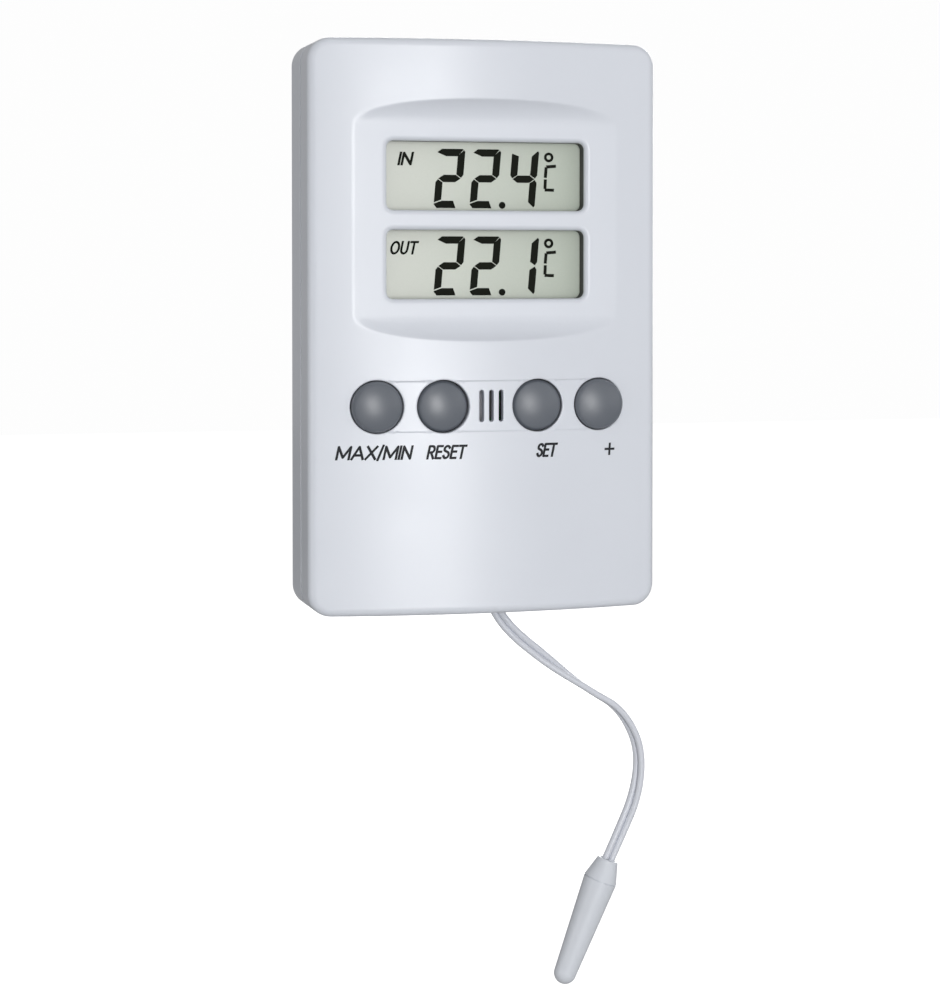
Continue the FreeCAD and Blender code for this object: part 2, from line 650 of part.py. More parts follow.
keep(rod("crystal_can", "x", "8", "9.5", "-2", "1.2", "6.2"), "crystal")
PASSIVES = [("-14", "4"), ("-11", "4"), ("-14", "0.5"), ("14", "18"), ("14", "21"), ("-12", "-8"),
            ("9", "-9")]
chips = [block("chip", (f"({x}) - 1", f"({x}) + 1"), (f"{BOARD_BACK} - 0.7", BOARD_BACK),
               (f"({up}) - 0.6", f"({up}) + 0.6"))
         for x, up in PASSIVES]
chips.append(rod("capacitor", "front", "16", f"{BOARD_BACK} - 6", "6", "2", "6"))
keep(group("board_chips", *chips), "resistors_and_capacitors")

bead = doc.addObject("Part::Sphere", "room_bead")
bind(bead, Radius="1.2")
put(bead, "-22", "-5.4", at("26"))
legs = [rod("room_leg", "front", x, "5.4", "26", "0.25", f"{BOARD_BACK} - 5.4") for x in ("-22.6", "-21.4")]
keep(join("room_sensor_parts", bead, *legs), "room_sensor")

disc = rod("sounder_can", "front", "slot_x", "board_deep", "key_up", "3.3", "2.4")
mouth = rod("sounder_mouth", "front", "slot_x", "board_deep + 1.6", "key_up", "0.8", "1")
keep(cut("sounder_parts", disc, mouth), "sounder")


# ---- Buttons ----

def build_button(name, x):
    body = new_body(f"{name}_button")
    foot = "-(mat_deep + 0.05)"
    inner = "-(flange_deep - flange)"
    dome = "(key_round - key_draft)"
    rise = "(key_top - key_rim)"
    ball = f"(({dome} ^ 2 + {rise} ^ 2) / (2 * {rise}))"
    half_turn = f"(0.5 * asin({dome} / {ball}))"
    outline = draw_outline(
        new_sketch(body, "YZ", x, "0", at("key_up")),
        [(foot, "0"), (foot, "stem_round"), (inner, "stem_round"), (inner, "key_flange"),
         ("-flange_deep", "key_flange"), ("-flange_deep", "key_round"), ("-(key_rim - 1.3)", "key_round"),
         ("-(key_rim - 0.1)", f"{dome} + 0.08"), ("-key_rim", dome), ("-key_top", "0")],
        {8: (f"-(key_top - {ball} * (1 - cos({half_turn})))", f"{ball} * sin({half_turn})")})
    revolve(body, outline, "H_Axis")


def build_mat(name, left, right, keys):
    """A rubber mat that lies over its contacts on two ribs, with a post behind each button."""
    body = new_body(name)
    low, high = "key_up - 5.05", "key_up + 6.05"
    plate = draw_rectangle(new_sketch(body, "XZ", "mat_deep - mat"), (left, right), (at(low), at(high)))
    pad(body, plate, "mat")
    for rib in ((low, f"{low} + 0.9"), (f"{high} - 0.9", high)):
        strip = draw_rectangle(new_sketch(body, "XZ", "board_deep"), (left, right), (at(rib[0]), at(rib[1])))
        pad(body, strip, "mat_deep - mat - board_deep + 0.1")
    for key in keys:
        post = draw_circle(new_sketch(body, "XZ", "board_deep + key_travel + pill"), KEYS[key], at("key_up"),
                           "stem_round")
        pad(body, post, "mat_deep - board_deep - key_travel - pill - mat / 2")


for name, x in KEYS.items():
    build_button(name, x)
    pill = rod(f"{name}_pill", "front", x, "board_deep + key_travel", "key_up", "2", "pill")
    keep(pill, f"{name}_contact_pill")
build_mat("rubber_mat_left", "-board_half + 0.2", "0.5", ("maxmin", "reset"))
build_mat("rubber_mat_right", "4.4", "board_half - 0.2", ("set", "plus"))

# ---- Battery ----

can = rod("cell_can", "x", "cell_left", "cell_deep", "cell_up", "cell_round", "cell_long")
pip = rod("cell_pip", "x", "cell_left + cell_long", "cell_deep", "cell_up", "1.9", "1")
keep(join("cell_parts", can, pip), "battery_cell")

PLATE_DEEP, PLATE_UP = ("3", "12.4"), ("cell_up - 4.6", "cell_up + 4.6")
minus = block("minus_plate", ("-bay_half", "-bay_half + 0.4"), PLATE_DEEP, PLATE_UP)
keep(minus, "battery_contact_minus")
plus = block("plus_plate", ("bay_half - 0.4", "bay_half"), PLATE_DEEP, PLATE_UP)
bump = rod("plus_bump", "x", "cell_left + cell_long + 1", "cell_deep", "cell_up", "2",
           "bay_half - 0.4 - cell_left - cell_long - 1")
keep(join("plus_parts", plus, bump), "battery_contact_plus")


def build_spring():
    """A cone of wire between the minus plate and the cell's flat end, with a closed last turn."""
    wire = 0.3
    start_x = worth("-bay_half + 0.4") + wire
    rise = worth("cell_left") - start_x - wire
    helix = Part.makeHelix(rise / 3.2, rise, 3.4, -19.0)
    edge = helix.Edges[0]
    start = edge.FirstParameter
    ring = Part.Wire(Part.makeCircle(wire, edge.valueAt(start), edge.tangentAt(start)))
    spring = Part.Wire(edge).makePipeShell([ring], True, True)
    feature = doc.addObject("Part::Feature", "spring_wire")
    feature.Shape = spring
    feature.Placement = FreeCAD.Placement(
        FreeCAD.Vector(start_x, -worth("cell_deep"), worth(at("cell_up"))), AXES["x"])
    keep(feature, "battery_spring")


build_spring()


# ---- Wires, the lead and the probe ----

def rounded_route(points):
    """Straight runs joined by tangent arcs, each as large as its two runs allow."""
    spots = [FreeCAD.Vector(x, -deep, worth("face_z") + up) for x, deep, up in points]
    edges, radii, start = [], [], spots[0]
    for before, corner, after in zip(spots, spots[1:], spots[2:]):
        back, ahead = (before - corner), (after - corner)
        shorter = min(back.Length, ahead.Length)
        half_turn = (math.pi - back.getAngle(ahead)) / 2
        reach = 0.45 * shorter
        radius = reach / math.tan(half_turn)
        back.normalize()
        ahead.normalize()
        first, last = corner + back * reach, corner + ahead * reach
        middle_way = (back + ahead).normalize()
        middle = corner + middle_way * (radius / math.cos(half_turn) - radius)
        edges += [Part.LineSegment(start, first).toShape(), Part.Arc(first, middle, last).toShape()]
        radii.append(radius)
        start = last
    edges.append(Part.LineSegment(start, spots[-1]).toShape())
    return Part.Wire(edges), radii


def build_tube(name, points, radius):
    path, radii = rounded_route(points)
    first = path.Edges[0]
    start = first.FirstParameter
    ring = Part.Wire(Part.makeCircle(radius, first.valueAt(start), first.tangentAt(start)))
    tube = path.makePipeShell([ring], True, True)
    expected = math.pi * radius ** 2 * path.Length
    if abs(tube.Volume - expected) > 0.01 * expected:
        raise RuntimeError(f"{name}: volume {tube.Volume:.1f}, not {expected:.1f}")
    feature = doc.addObject("Part::Feature", name + "_tube")
    feature.Shape = tube
    return feature, path.Length, radii


# The lead's route, from the clamp in the case to the probe's cap: X, depth and height
LEAD_ROUTE = [
    (3.2, 6.0, -52.2), (5.5, 6.0, -56.9), (8.9, 6.0, -61.2), (13.7, 6.0, -65.2),
    (19.5, 6.0, -69.75), (25.4, 6.0, -73.85), (31.1, 6.0, -77.2), (34.85, 6.0, -83.2),
    (35.8, 6.0, -89.0), (34.65, 6.0, -95.9), (31.8, 6.0, -102.3), (28.75, 6.0, -108.7),
]
lead, length, radii = build_tube("lead", LEAD_ROUTE, worth("lead_round"))
keep(lead, "sensor_cord")
print(f"lead: {length:.1f} mm long, arc radii", " ".join(f"{radius:.1f}" for radius in radii))

clamp = block("clamp_block", ("-0.2", "6.6"), ("3.9", "8.1"), ("-52.7", "-49.2"))
seat = rod("clamp_seat", "z", "3.2", "lead_deep", "-53", "lead_round + 0.45", "1.6")
keep(cut("clamp_parts", clamp, seat), "lead_clamp")

WIRE_ROUND = 0.5
SENSOR_WIRES = [[(x, 6.0, -48.8), (x, 6.6, -45.6), (x, 15.6, -44.3), (x, 16.4, -31.0), (x, 15.6, -24.6),
                 (x, 13.0, -22.8)] for x in (2.5, 3.9)]
sensor_pair = [build_tube("sensor_wire", route, WIRE_ROUND)[0] for route in SENSOR_WIRES]
keep(group("sensor_wire_pair", *sensor_pair), "sensor_wires")
BATTERY_WIRES = [[(side * 25.2, 10.5, -32.9), (side * 27.6, 10.4, -31.6), (side * 27.4, 9.0, -26.8),
                  (side * 23.6, 8.4, -23.0), (side * 21.6, 10.3, -20.6)] for side in (-1, 1)]
battery_pair = [build_tube("battery_wire", route, WIRE_ROUND)[0] for route in BATTERY_WIRES]
keep(group("battery_wire_pair", *battery_pair), "battery_wires")


def build_probe(label, corners, bulges=None):
    """A turned piece of the probe. Its outline is drawn with the probe upright, from the cap's top."""
    body = new_body(label)
    revolve(body, draw_outline(new_sketch(body, "XZ", "0"), corners, bulges), "V_Axis")
    turn = FreeCAD.Rotation(FreeCAD.Vector(0, 1, 0), worth("probe_lean"))
    body.Placement = FreeCAD.Placement(FreeCAD.Vector(), turn)
    bind(body, Placement__Rotation__Angle="probe_lean")
    put(body, "probe_x", "-lead_deep", at("probe_up"))
    return body


tip = "-probe_long"
rim = "cap_base - probe_wall"
joint = "cap_base - joint_deep"
build_probe("probe_cap", [
    ("0", "-1.2"), ("cap_bore", "-1.2"), ("cap_bore", "0"), ("cap_top - 0.4", "0"), ("cap_top", "-0.4"),
    ("cap_base", "-cap_long + joint_half"), (joint, "-cap_long + joint_half"), (joint, "-cap_long"),
    ("0", "-cap_long")], {3: ("cap_top - 0.12", "-0.12")})
build_probe("probe_body", [
    (rim, "-cap_long"), (joint, "-cap_long"), (joint, "-cap_long - joint_half"),
    ("cap_base", "-cap_long - joint_half"), ("tip_round", f"{tip} + tip_round"), ("0", tip),
    ("0", f"{tip} + 1"), ("tip_round - probe_wall", f"{tip} + tip_round")],
    {4: ("tip_round * 0.70710678", f"{tip} + tip_round * 0.29289322")})
build_probe("probe_filling", [
    ("0.9", "-cap_long"), (rim, "-cap_long"), ("tip_round - probe_wall", f"{tip} + tip_round"),
    ("0", f"{tip} + 1"), ("0", f"{tip} + 3.5"), ("0.9", f"{tip} + 3.5")])
build_probe("probe_sensor", [
    ("0", f"{tip} + 3.5"), ("0.9", f"{tip} + 3.5"), ("0.9", f"{tip} + 6.5"), ("0.45", f"{tip} + 7"),
    ("0.45", "-cap_long"), ("0", "-cap_long")])


# ---- Battery door and stand ----

def build_door():
    body = new_body("battery_door")
    low, high = at("cell_up - door_tall / 2"), at("cell_up + door_tall / 2")
    plate = draw_rectangle(new_sketch(body, "XZ", "0"), ("-door_half", "door_half"), (low, high))
    pad(body, plate, "door")
    soften(body, "0.8", lambda e: runs_back(e))
    for x in ("-15", "0", "15"):
        rib = draw_rectangle(new_sketch(body, "XZ", "door - 0.1"), (f"{x} - 0.6", f"{x} + 0.6"),
                             (at("cell_up - 4.8"), at("cell_up + 4.8")))
        pad(body, rib, "0.7")
    for row in range(5):
        up = f"cell_up + {1.4 * row - 2.8}"
        grip = draw_rectangle(new_sketch(body, "XZ", "0.5"), ("17 - 3", "17 + 3"),
                              (at(f"{up} - 0.35"), at(f"{up} + 0.35")))
        pocket(body, grip, "1")


def build_stand():
    body = new_body("stand")
    top = at("stand_up + stand_head")
    foot, bar = at("stand_foot"), at("stand_foot + stand_bar")
    outline = draw_outline(
        new_sketch(body, "XZ", "stand_deep - stand_thick / 2"),
        [("-stand_out", foot), ("stand_out", foot), ("stand_out", top), ("stand_in", top),
         ("stand_in", bar), ("-stand_in", bar), ("-stand_in", top), ("-stand_out", top)])
    pad(body, outline, "stand_thick")
    soften(body, "1.6", lambda e: runs_back(e) and e.BoundBox.ZMax < worth(foot) + 0.1)
    top_height = worth(top)
    soften(body, "1.2", lambda e: e.BoundBox.XLength > 1 and abs(e.BoundBox.ZMin - top_height) < 1e-4)
    for start in ("stand_in + 1", "-(stand_out + pivot_long)"):
        pin = draw_circle(new_sketch(body, "YZ", start), "-stand_deep", at("stand_up"), "pivot_round")
        pad(body, pin, "stand_out + pivot_long - stand_in - 1")


build_door()
build_stand()

# ---- Check and write ----

doc.recompute()
faults = [thing.Name for thing in doc.Objects if {"Invalid", "Error"} & set(thing.State)]
faults += [piece.Label for piece in PIECES if piece.Shape.isNull() or not piece.Shape.isValid()]
if faults:
    raise RuntimeError("failed: " + ", ".join(faults))
os.makedirs("parts", exist_ok=True)
for piece in PIECES:
    piece.Shape.exportStep(os.path.join("parts", piece.Label + ".step"))
print(len(PIECES), "sub-parts written")
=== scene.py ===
"""Maximum minimum thermometer: finished surfaces around the CAD frame, in metres.

The front shell, the display's marks, the lettering, the lead, the buttons and the rubber blisters
behind them are made here. The other parts are the frame's own nodes with their finishes.
"""
import math

import bmesh
import bpy
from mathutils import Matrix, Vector
from mathutils.geometry import delaunay_2d_cdt


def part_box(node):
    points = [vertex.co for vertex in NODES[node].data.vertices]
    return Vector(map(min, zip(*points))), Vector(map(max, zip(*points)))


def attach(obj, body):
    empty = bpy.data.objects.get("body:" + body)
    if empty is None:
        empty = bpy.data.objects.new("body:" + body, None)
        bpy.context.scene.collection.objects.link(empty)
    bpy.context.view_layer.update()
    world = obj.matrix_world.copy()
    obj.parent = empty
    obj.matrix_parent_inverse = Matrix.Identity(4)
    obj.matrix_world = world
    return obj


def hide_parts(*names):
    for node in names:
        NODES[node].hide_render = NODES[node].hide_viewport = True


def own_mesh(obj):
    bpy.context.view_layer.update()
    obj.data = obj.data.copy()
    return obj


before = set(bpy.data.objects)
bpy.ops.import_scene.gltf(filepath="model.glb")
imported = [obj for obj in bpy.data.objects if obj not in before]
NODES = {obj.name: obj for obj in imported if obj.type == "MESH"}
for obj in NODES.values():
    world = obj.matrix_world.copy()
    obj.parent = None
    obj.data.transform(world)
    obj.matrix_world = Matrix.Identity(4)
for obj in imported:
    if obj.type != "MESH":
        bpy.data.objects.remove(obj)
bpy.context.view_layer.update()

bl_info = {
    "name": "Maximum Minimum Thermometer",
    "version": (1, 0, 0),
    "blender": (4, 5, 0),
    "location": "3D View > Sidebar > Thermometer",
    "description": "Builds a wall thermometer with two readings and a probe on a lead",
    "category": "Add Mesh",
}

MM = 0.001
KEYS = ("maxmin", "reset", "set", "plus")


# ---- Measures that come from the frame ----

def span(node):
    """A node's box in millimetres, as (left, right), (nearest depth, farthest depth), (low, high)."""
    low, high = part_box(node)
    return ((low[0] / MM, high[0] / MM), (-high[1] / MM, -low[1] / MM), (low[2] / MM, high[2] / MM))


CASE_X, CASE_DEEP, CASE_Z = span("front_case")
FACE_Z = sum(CASE_Z) / 2
HALF_W = CASE_X[1]
HALF_TALL = (CASE_Z[1] - CASE_Z[0]) / 2
APEX = CASE_DEEP[1]
SEAM = CASE_DEEP[0]
KEY_SPANS = {name: span(f"{name}_button") for name in KEYS}
KEY_X = {name: sum(box[0]) / 2 for name, box in KEY_SPANS.items()}
KEY_UP = sum(KEY_SPANS["set"][2]) / 2 - FACE_Z
DISPLAY_DEEP = span("display_polariser")[1][1]
FRAME_SPAN = span("display_frame")


def length_property(name, description, millimetres):
    """A length that the panel shows."""
    return bpy.props.FloatProperty(
        name=name, description=description, default=millimetres * MM, unit="LENGTH")


class ThermometerSizes(bpy.types.PropertyGroup):
    crown_rise: length_property("Crown", "How far the middle of the front stands proud of its sides", 4.2)
    edge_round: length_property("Edge", "Radius round the front edge", 1.4)
    corner_round: length_property("Corner", "Radius of the case's corners", 4.3)
    panel_deep: length_property("Panel depth", "Depth of the flat display panel in front of the back", 19.8)
    grid: length_property("Grid", "Spacing of the front shell's mesh", 1.0)
    letter_tall: length_property("Letters", "Height of the printed capitals", 2.75)
    digit_tall: length_property("Digits", "Height of the display's digits", 11.3)
    lead_wide: length_property("Lead width", "Width of the twin lead", 2.7)


def linear(hex_colour):
    """An sRGB hex colour as linear RGBA."""
    channels = [int(hex_colour[i:i + 2], 16) / 255 for i in (1, 3, 5)]
    return [c / 12.92 if c <= 0.04045 else ((c + 0.055) / 1.055) ** 2.4 for c in channels] + [1.0]


def colour_property(name, description, hex_colour):
    """A colour that the panel shows."""
    return bpy.props.FloatVectorProperty(
        name=name, description=description, subtype="COLOR", size=4, min=0, max=1, default=linear(hex_colour))


class ThermometerColours(bpy.types.PropertyGroup):
    case: colour_property("Case", "Moulded shells", "#DCE0E8")
    key: colour_property("Buttons", "Moulded buttons", "#666B73")
    ink: colour_property("Ink", "Printed lettering", "#24262B")
    # The display film's two colours: painted light at its lighter side and painted shade at its darker side.
    display_painted_light: colour_property("Display, light side", "Display film at its lighter side", "#E3E6DE")
    display_painted_shade: colour_property("Display, dark side", "Display film at its darker side", "#B8C1B4")
    lead: colour_property("Lead", "Vinyl of the lead", "#D9DCE4")
    probe: colour_property("Probe", "Moulded probe", "#D9DDE4")


def sizes():
    """The lengths as they are set in the panel."""
    return bpy.context.scene.thermometer_sizes


def colours():
    """The colours as they are set in the panel."""
    return bpy.context.scene.thermometer_colours


# ---- Materials ----

def add_node(tree, kind, inputs=None, **settings):
    """Adds a node with its settings, and sets or links its inputs."""
    node = tree.nodes.new(kind)
    for name, value in settings.items():
        setattr(node, name, value)
    for name, value in (inputs or {}).items():
        if isinstance(value, bpy.types.NodeSocket):
            tree.links.new(value, node.inputs[name])
        else:
            node.inputs[name].default_value = value
    return node


def new_material(name, **shader_values):
    """A material with one Principled shader, and its tree and shader."""
    material = bpy.data.materials.new(name)
    material.use_nodes = True
    tree = material.node_tree
    tree.nodes.clear()
    shader = add_node(tree, "ShaderNodeBsdfPrincipled",
                      {key.replace("_", " "): value for key, value in shader_values.items()})
    add_node(tree, "ShaderNodeOutputMaterial", {"Surface": shader.outputs["BSDF"]})
    return material, tree, shader


def per_metre(millimetres):
    """The scale that makes one feature of a noise or wave pattern that many millimetres long."""
    return 1 / (millimetres * MM)


def object_place(tree):
    """Places on a part, in the object's own metres."""
    return add_node(tree, "ShaderNodeTexCoord").outputs["Object"]


def noise(tree, place, feature_mm, detail=2.0):
    """A noise pattern with features of that size."""
    pattern = add_node(tree, "ShaderNodeTexNoise",
                       {"Vector": place, "Scale": per_metre(feature_mm), "Detail": detail})
    return pattern.outputs["Fac"]


def spread(tree, value, low, high, value_low=0.0, value_high=1.0):
    """A value moved from its own range to the range from low to high."""
    moved = add_node(tree, "ShaderNodeMapRange", {
        "Value": value, "From Min": value_low, "From Max": value_high, "To Min": low, "To Max": high})
    return moved.outputs["Result"]


def maths(tree, operation, *values, **settings):
    """The result of a Math node on numbers or outputs."""
    node = add_node(tree, "ShaderNodeMath", dict(enumerate(values)), operation=operation, **settings)
    return node.outputs["Value"]


def sheen(tree, shader, pattern, low, high, *pattern_range):
    """Lets a pattern move the roughness between low and high."""
    tree.links.new(spread(tree, pattern, low, high, *pattern_range), shader.inputs["Roughness"])


def tint(tree, shader, pattern, first, second):
    """Blends the base colour from the first to the second by a pattern."""
    blend = add_node(tree, "ShaderNodeMix", {"Factor": pattern, "A": first, "B": second}, data_type="RGBA")
    tree.links.new(blend.outputs["Result"], shader.inputs["Base Color"])


def relief(tree, shader, pattern, depth_mm):
    """Turns a pattern into relief of that depth."""
    bump = add_node(tree, "ShaderNodeBump", {"Height": pattern, "Distance": depth_mm * MM})
    tree.links.new(bump.outputs["Normal"], shader.inputs["Normal"])


def darker(colour, share):
    """A colour without that share of its light."""
    return [c * (1 - share) for c in colour[:3]] + [1.0]


def moulded(name, colour, grain_mm, depth_mm, rough, rough_range, fade=0.03, **shader_values):
    """A material with fine grain in its relief, a slow drift in its sheen and a trace in its colour."""
    material, tree, shader = new_material(name, **shader_values)
    place = object_place(tree)
    slow = noise(tree, place, 14)
    sheen(tree, shader, slow, rough - rough_range, rough + rough_range, 0.3, 0.7)
    tint(tree, shader, slow, darker(colour, fade), list(colour))
    relief(tree, shader, noise(tree, place, grain_mm, 3.0), depth_mm)
    return material


def satin_abs(name, colour, rough=0.33, grain_mm=0.45, depth_mm=0.004):
    """ABS from a spark-eroded mould: a soft, wide highlight and hardly any grain."""
    return moulded(name, colour, grain_mm, depth_mm, rough, 0.03, fade=0.015, IOR=1.53)


def black_moulding(name):
    """Black ABS, fine-grained: a dull edge round the display and dull small parts inside."""
    return satin_abs(name, linear("#17181A"), rough=0.48)


def silicone_rubber(name, colour):
    """Moulded silicone: matt, with a slight bloom."""
    return moulded(name, colour, 0.6, 0.01, 0.62, 0.06, IOR=1.42)


def soft_vinyl(name, colour):
    """Extruded vinyl: smooth along its length, with a waxy sheen that drifts slowly."""
    return moulded(name, colour, 8, 0.002, 0.38, 0.05, IOR=1.52)


def crystal_black(name):
    """A driven segment: the near-black of crossed polarisers, with a green cast."""
    return moulded(name, linear("#14170F"), 0.4, 0.001, 0.6, 0.03, IOR=1.49, Specular_IOR_Level=0.08)


def screen_ink(name, colour):
    """Two-part pad-printing ink: dark, thin, with a slightly uneven sheen."""
    return moulded(name, colour, 0.25, 0.002, 0.5, 0.08, fade=0.2, IOR=1.5, Specular_IOR_Level=0.2)


def potting_resin(name):
    """Clear epoxy with a yellow cast, as it fills the probe round its sensor."""
    return moulded(name, linear("#D8CFA8"), 1.5, 0.01, 0.2, 0.05, IOR=1.55, Transmission_Weight=0.6)


def glass_bead(name):
    """A glass-sealed thermistor: amber-black and glossy."""
    return moulded(name, linear("#2A1F18"), 0.8, 0.005, 0.15, 0.04, IOR=1.52)


def display_film(name, light, dark):
    """Anti-glare polariser over a reflective liquid crystal: a grey-green with a fine speckle, with painted
    light at its left side that deepens into painted shade towards its right.
    """
    material, tree, shader = new_material(name, IOR=1.49, Specular_IOR_Level=0.25)
    place = object_place(tree)
    apart = add_node(tree, "ShaderNodeSeparateXYZ", {"Vector": place})
    left, right = FRAME_SPAN[0]
    # Painted light and shade: the film's colour runs from the lighter colour at its left edge to the darker
    # one at its right, standing in for the lamp's sheen across the film. The speckle added on top is the
    # film's own random tone.
    painted_shade_ramp = spread(tree, apart.outputs["X"], 0.0, 1.0, left * MM, right * MM)
    speckle = noise(tree, place, 0.3)
    drift = maths(tree, "MULTIPLY_ADD", speckle, 0.12, -0.06)
    shade = maths(tree, "ADD", painted_shade_ramp, drift, use_clamp=True)
    tint(tree, shader, shade, list(light), list(dark))
    sheen(tree, shader, speckle, 0.42, 0.55)
    return material


def plated_steel(name, hex_colour, rough):
    """Plated steel, turned or pressed: bright, with fine marks that run one way."""
    material, tree, shader = new_material(name, Metallic=1.0)
    stretched = add_node(tree, "ShaderNodeMapping", {"Vector": object_place(tree), "Scale": (1.0, 1.0, 12.0)})
    marks = noise(tree, stretched.outputs["Vector"], 2.0, 4.0)
    sheen(tree, shader, marks, rough - 0.08, rough + 0.12)
    colour = linear(hex_colour)
    tint(tree, shader, marks, darker(colour, 0.2), colour)
    relief(tree, shader, marks, 0.003)
    return material


def board_laminate(name):
    """Fibreglass board under green solder resist, with the copper's tracks showing as paler lines."""
    material, tree, shader = new_material(name, IOR=1.5, Coat_Weight=0.3)
    place = object_place(tree)
    tracks = add_node(tree, "ShaderNodeTexVoronoi", {"Vector": place, "Scale": per_metre(3.0)},
                      distance="CHEBYCHEV", feature="F1")
    edge = maths(tree, "GREATER_THAN", tracks.outputs["Distance"], 0.42)
    weave = add_node(tree, "ShaderNodeTexChecker", {"Vector": place, "Scale": per_metre(0.5)})
    tint(tree, shader, edge, linear("#14502C"), linear("#2C7A48"))
    sheen(tree, shader, edge, 0.35, 0.25)
    relief(tree, shader, weave.outputs["Fac"], 0.01)
    return material


def cell_jacket(name):
    """The cell's printed film: graphite with a band of copper at its positive end."""
    material, tree, shader = new_material(name, Metallic=0.6, IOR=1.5, Coat_Weight=0.5, Coat_Roughness=0.12)
    place = object_place(tree)
    apart = add_node(tree, "ShaderNodeSeparateXYZ", {"Vector": place})
    band = maths(tree, "GREATER_THAN", apart.outputs["X"], 10 * MM)
    tint(tree, shader, band, linear("#2B2D31"), linear("#B4713A"))
    sheen(tree, shader, noise(tree, place, 0.4), 0.25, 0.4)
    return material


def striped_elastomer(name):
    """Rubber connector: thin carbon stripes between clear ones, seen as a fine hatch."""
    material, tree, shader = new_material(name, IOR=1.42)
    stripes = add_node(tree, "ShaderNodeTexWave", {
        "Vector": object_place(tree), "Scale": per_metre(0.5) / math.pi}, bands_direction="X")
    tint(tree, shader, stripes.outputs["Fac"], linear("#1A1A1C"), linear("#C7A9B4"))
    sheen(tree, shader, stripes.outputs["Fac"], 0.5, 0.65)
    return material


def float_glass(name):
    """Thin clear glass with a green cast at its edge."""
    material, tree, shader = new_material(name, IOR=1.52, Transmission_Weight=1.0)
    sheen(tree, shader, noise(tree, object_place(tree), 5), 0.02, 0.06)
    shader.inputs["Base Color"].default_value = linear("#E4F0E6")
    return material


# ---- Meshes ----

def added(name, data):
    """A new object in the scene with this data."""
    thing = bpy.data.objects.new(name, data)
    bpy.context.scene.collection.objects.link(thing)
    return thing


def millimetre_mesh(name, points, faces, material, smooth_angle=35):
    """An object from points in millimetres, as (x, depth in front of the back, z)."""
    mesh = bpy.data.meshes.new(name)
    mesh.from_pydata([(x * MM, -deep * MM, z * MM) for x, deep, z in points], [], faces)
    shaped = bmesh.new()
    shaped.from_mesh(mesh)
    bmesh.ops.recalc_face_normals(shaped, faces=shaped.faces)
    shaped.to_mesh(mesh)
    shaped.free()
    mesh.shade_smooth()
    mesh.set_sharp_from_angle(angle=math.radians(smooth_angle))
    mesh.materials.append(material)
    return added(name, mesh)


def bridge(first, second):
    """Quads between two closed rings of vertex numbers."""
    count = len(first)
    return [(first[i], first[(i + 1) % count], second[(i + 1) % count], second[i]) for i in range(count)]


class Rounded:
    """A rounded rectangle, slot or circle in the face's plane: (x, height above the face's centre)."""

    def __init__(self, x, up, half_x, half_up, radius, step=1.0, corner_steps=8):
        self.x, self.up, self.radius = x, up, radius
        self.flat_x, self.flat_up = half_x - radius, half_up - radius
        self.steps_x, self.steps_up = (max(1, round(2 * flat / step)) if flat > 1e-6 else 0
                                       for flat in (self.flat_x, self.flat_up))
        self.corner_steps = corner_steps

    def distance(self, x, up):
        """How far a point is outside the outline, or inside it if negative."""
        out_x, out_up = abs(x - self.x) - self.flat_x, abs(up - self.up) - self.flat_up
        outside = math.hypot(max(out_x, 0), max(out_up, 0))
        return outside + min(max(out_x, out_up), 0) - self.radius

    def ring(self, offset=0.0):
        """Its points, the same number at every offset, anticlockwise seen from the front."""
        radius = self.radius + offset
        runs = ((1, 1, -1, 0, self.flat_x, self.steps_x), (-1, 1, 0, -1, self.flat_up, self.steps_up),
                (-1, -1, 1, 0, self.flat_x, self.steps_x), (1, -1, 0, 1, self.flat_up, self.steps_up))
        points = []
        for quarter, (side_x, side_up, along_x, along_up, half_run, steps) in enumerate(runs):
            centre = (self.x + side_x * self.flat_x, self.up + side_up * self.flat_up)
            last = self.corner_steps if steps else self.corner_steps - 1
            for i in range(last + 1):
                turn = math.pi / 2 * (quarter + i / self.corner_steps)
                points.append((centre[0] + radius * math.cos(turn), centre[1] + radius * math.sin(turn)))
            for i in range(1, steps):
                run = 2 * half_run * i / steps
                points.append((points[-i][0] + along_x * run, points[-i][1] + along_up * run))
        return points


def holds(polygon, point):
    """Whether a point is inside a polygon: a line to its right crosses an odd number of edges."""
    inside = False
    for (x, up), (next_x, next_up) in zip(polygon, polygon[1:] + polygon[:1]):
        if (up > point.y) != (next_up > point.y):
            crossing = x + (next_x - x) * (point.y - up) / (next_up - up)
            inside ^= point.x < crossing
    return inside


def extruded(name, polygons, place, thick, material):
    """A thin closed piece from overlapping polygons: place gives the depth of its face at (x, up)."""
    corners, loops = [], []
    for polygon in polygons:
        loops.append(list(range(len(corners), len(corners) + len(polygon))))
        corners += polygon
    points, _, faces, *_ = delaunay_2d_cdt([Vector(c) for c in corners], [], loops, 1, 1e-5)
    centres = [sum((points[i] for i in face), Vector((0, 0))) / len(face) for face in faces]
    faces = [face for face, centre in zip(faces, centres)
             if any(holds(polygon, centre) for polygon in polygons)]
    front = [(p.x, place(p.x, p.y), p.y + FACE_Z) for p in points]
    back = [(x, deep - thick, z) for x, deep, z in front]
    count = len(front)
    sides = dict.fromkeys(side for face in faces for side in zip(face, face[1:] + face[:1]))
    walls = [(a, b, b + count, a + count) for a, b in sides if (b, a) not in sides]
    flipped = [[i + count for i in reversed(face)] for face in faces]
    return millimetre_mesh(name, front + back, [list(face) for face in faces] + flipped + walls, material)


# ---- Front shell ----

# Millimetres on the face. Holes are given by half sizes, and a lip is the radius round a hole's edge.
WINDOW_HALF, WINDOW_UPS = (19.65, 6.58), (29.0, 12.05)
WINDOW_CORNER, WINDOW_LIP = 1.3, 0.9
KEY_HOLE, KEY_LIP = 5.08, 0.25
SLOT_X, SLOT_PITCH, SLOT_HALF, SLOT_LIP = 0.25, 1.92, (0.45, 3.05), 0.15
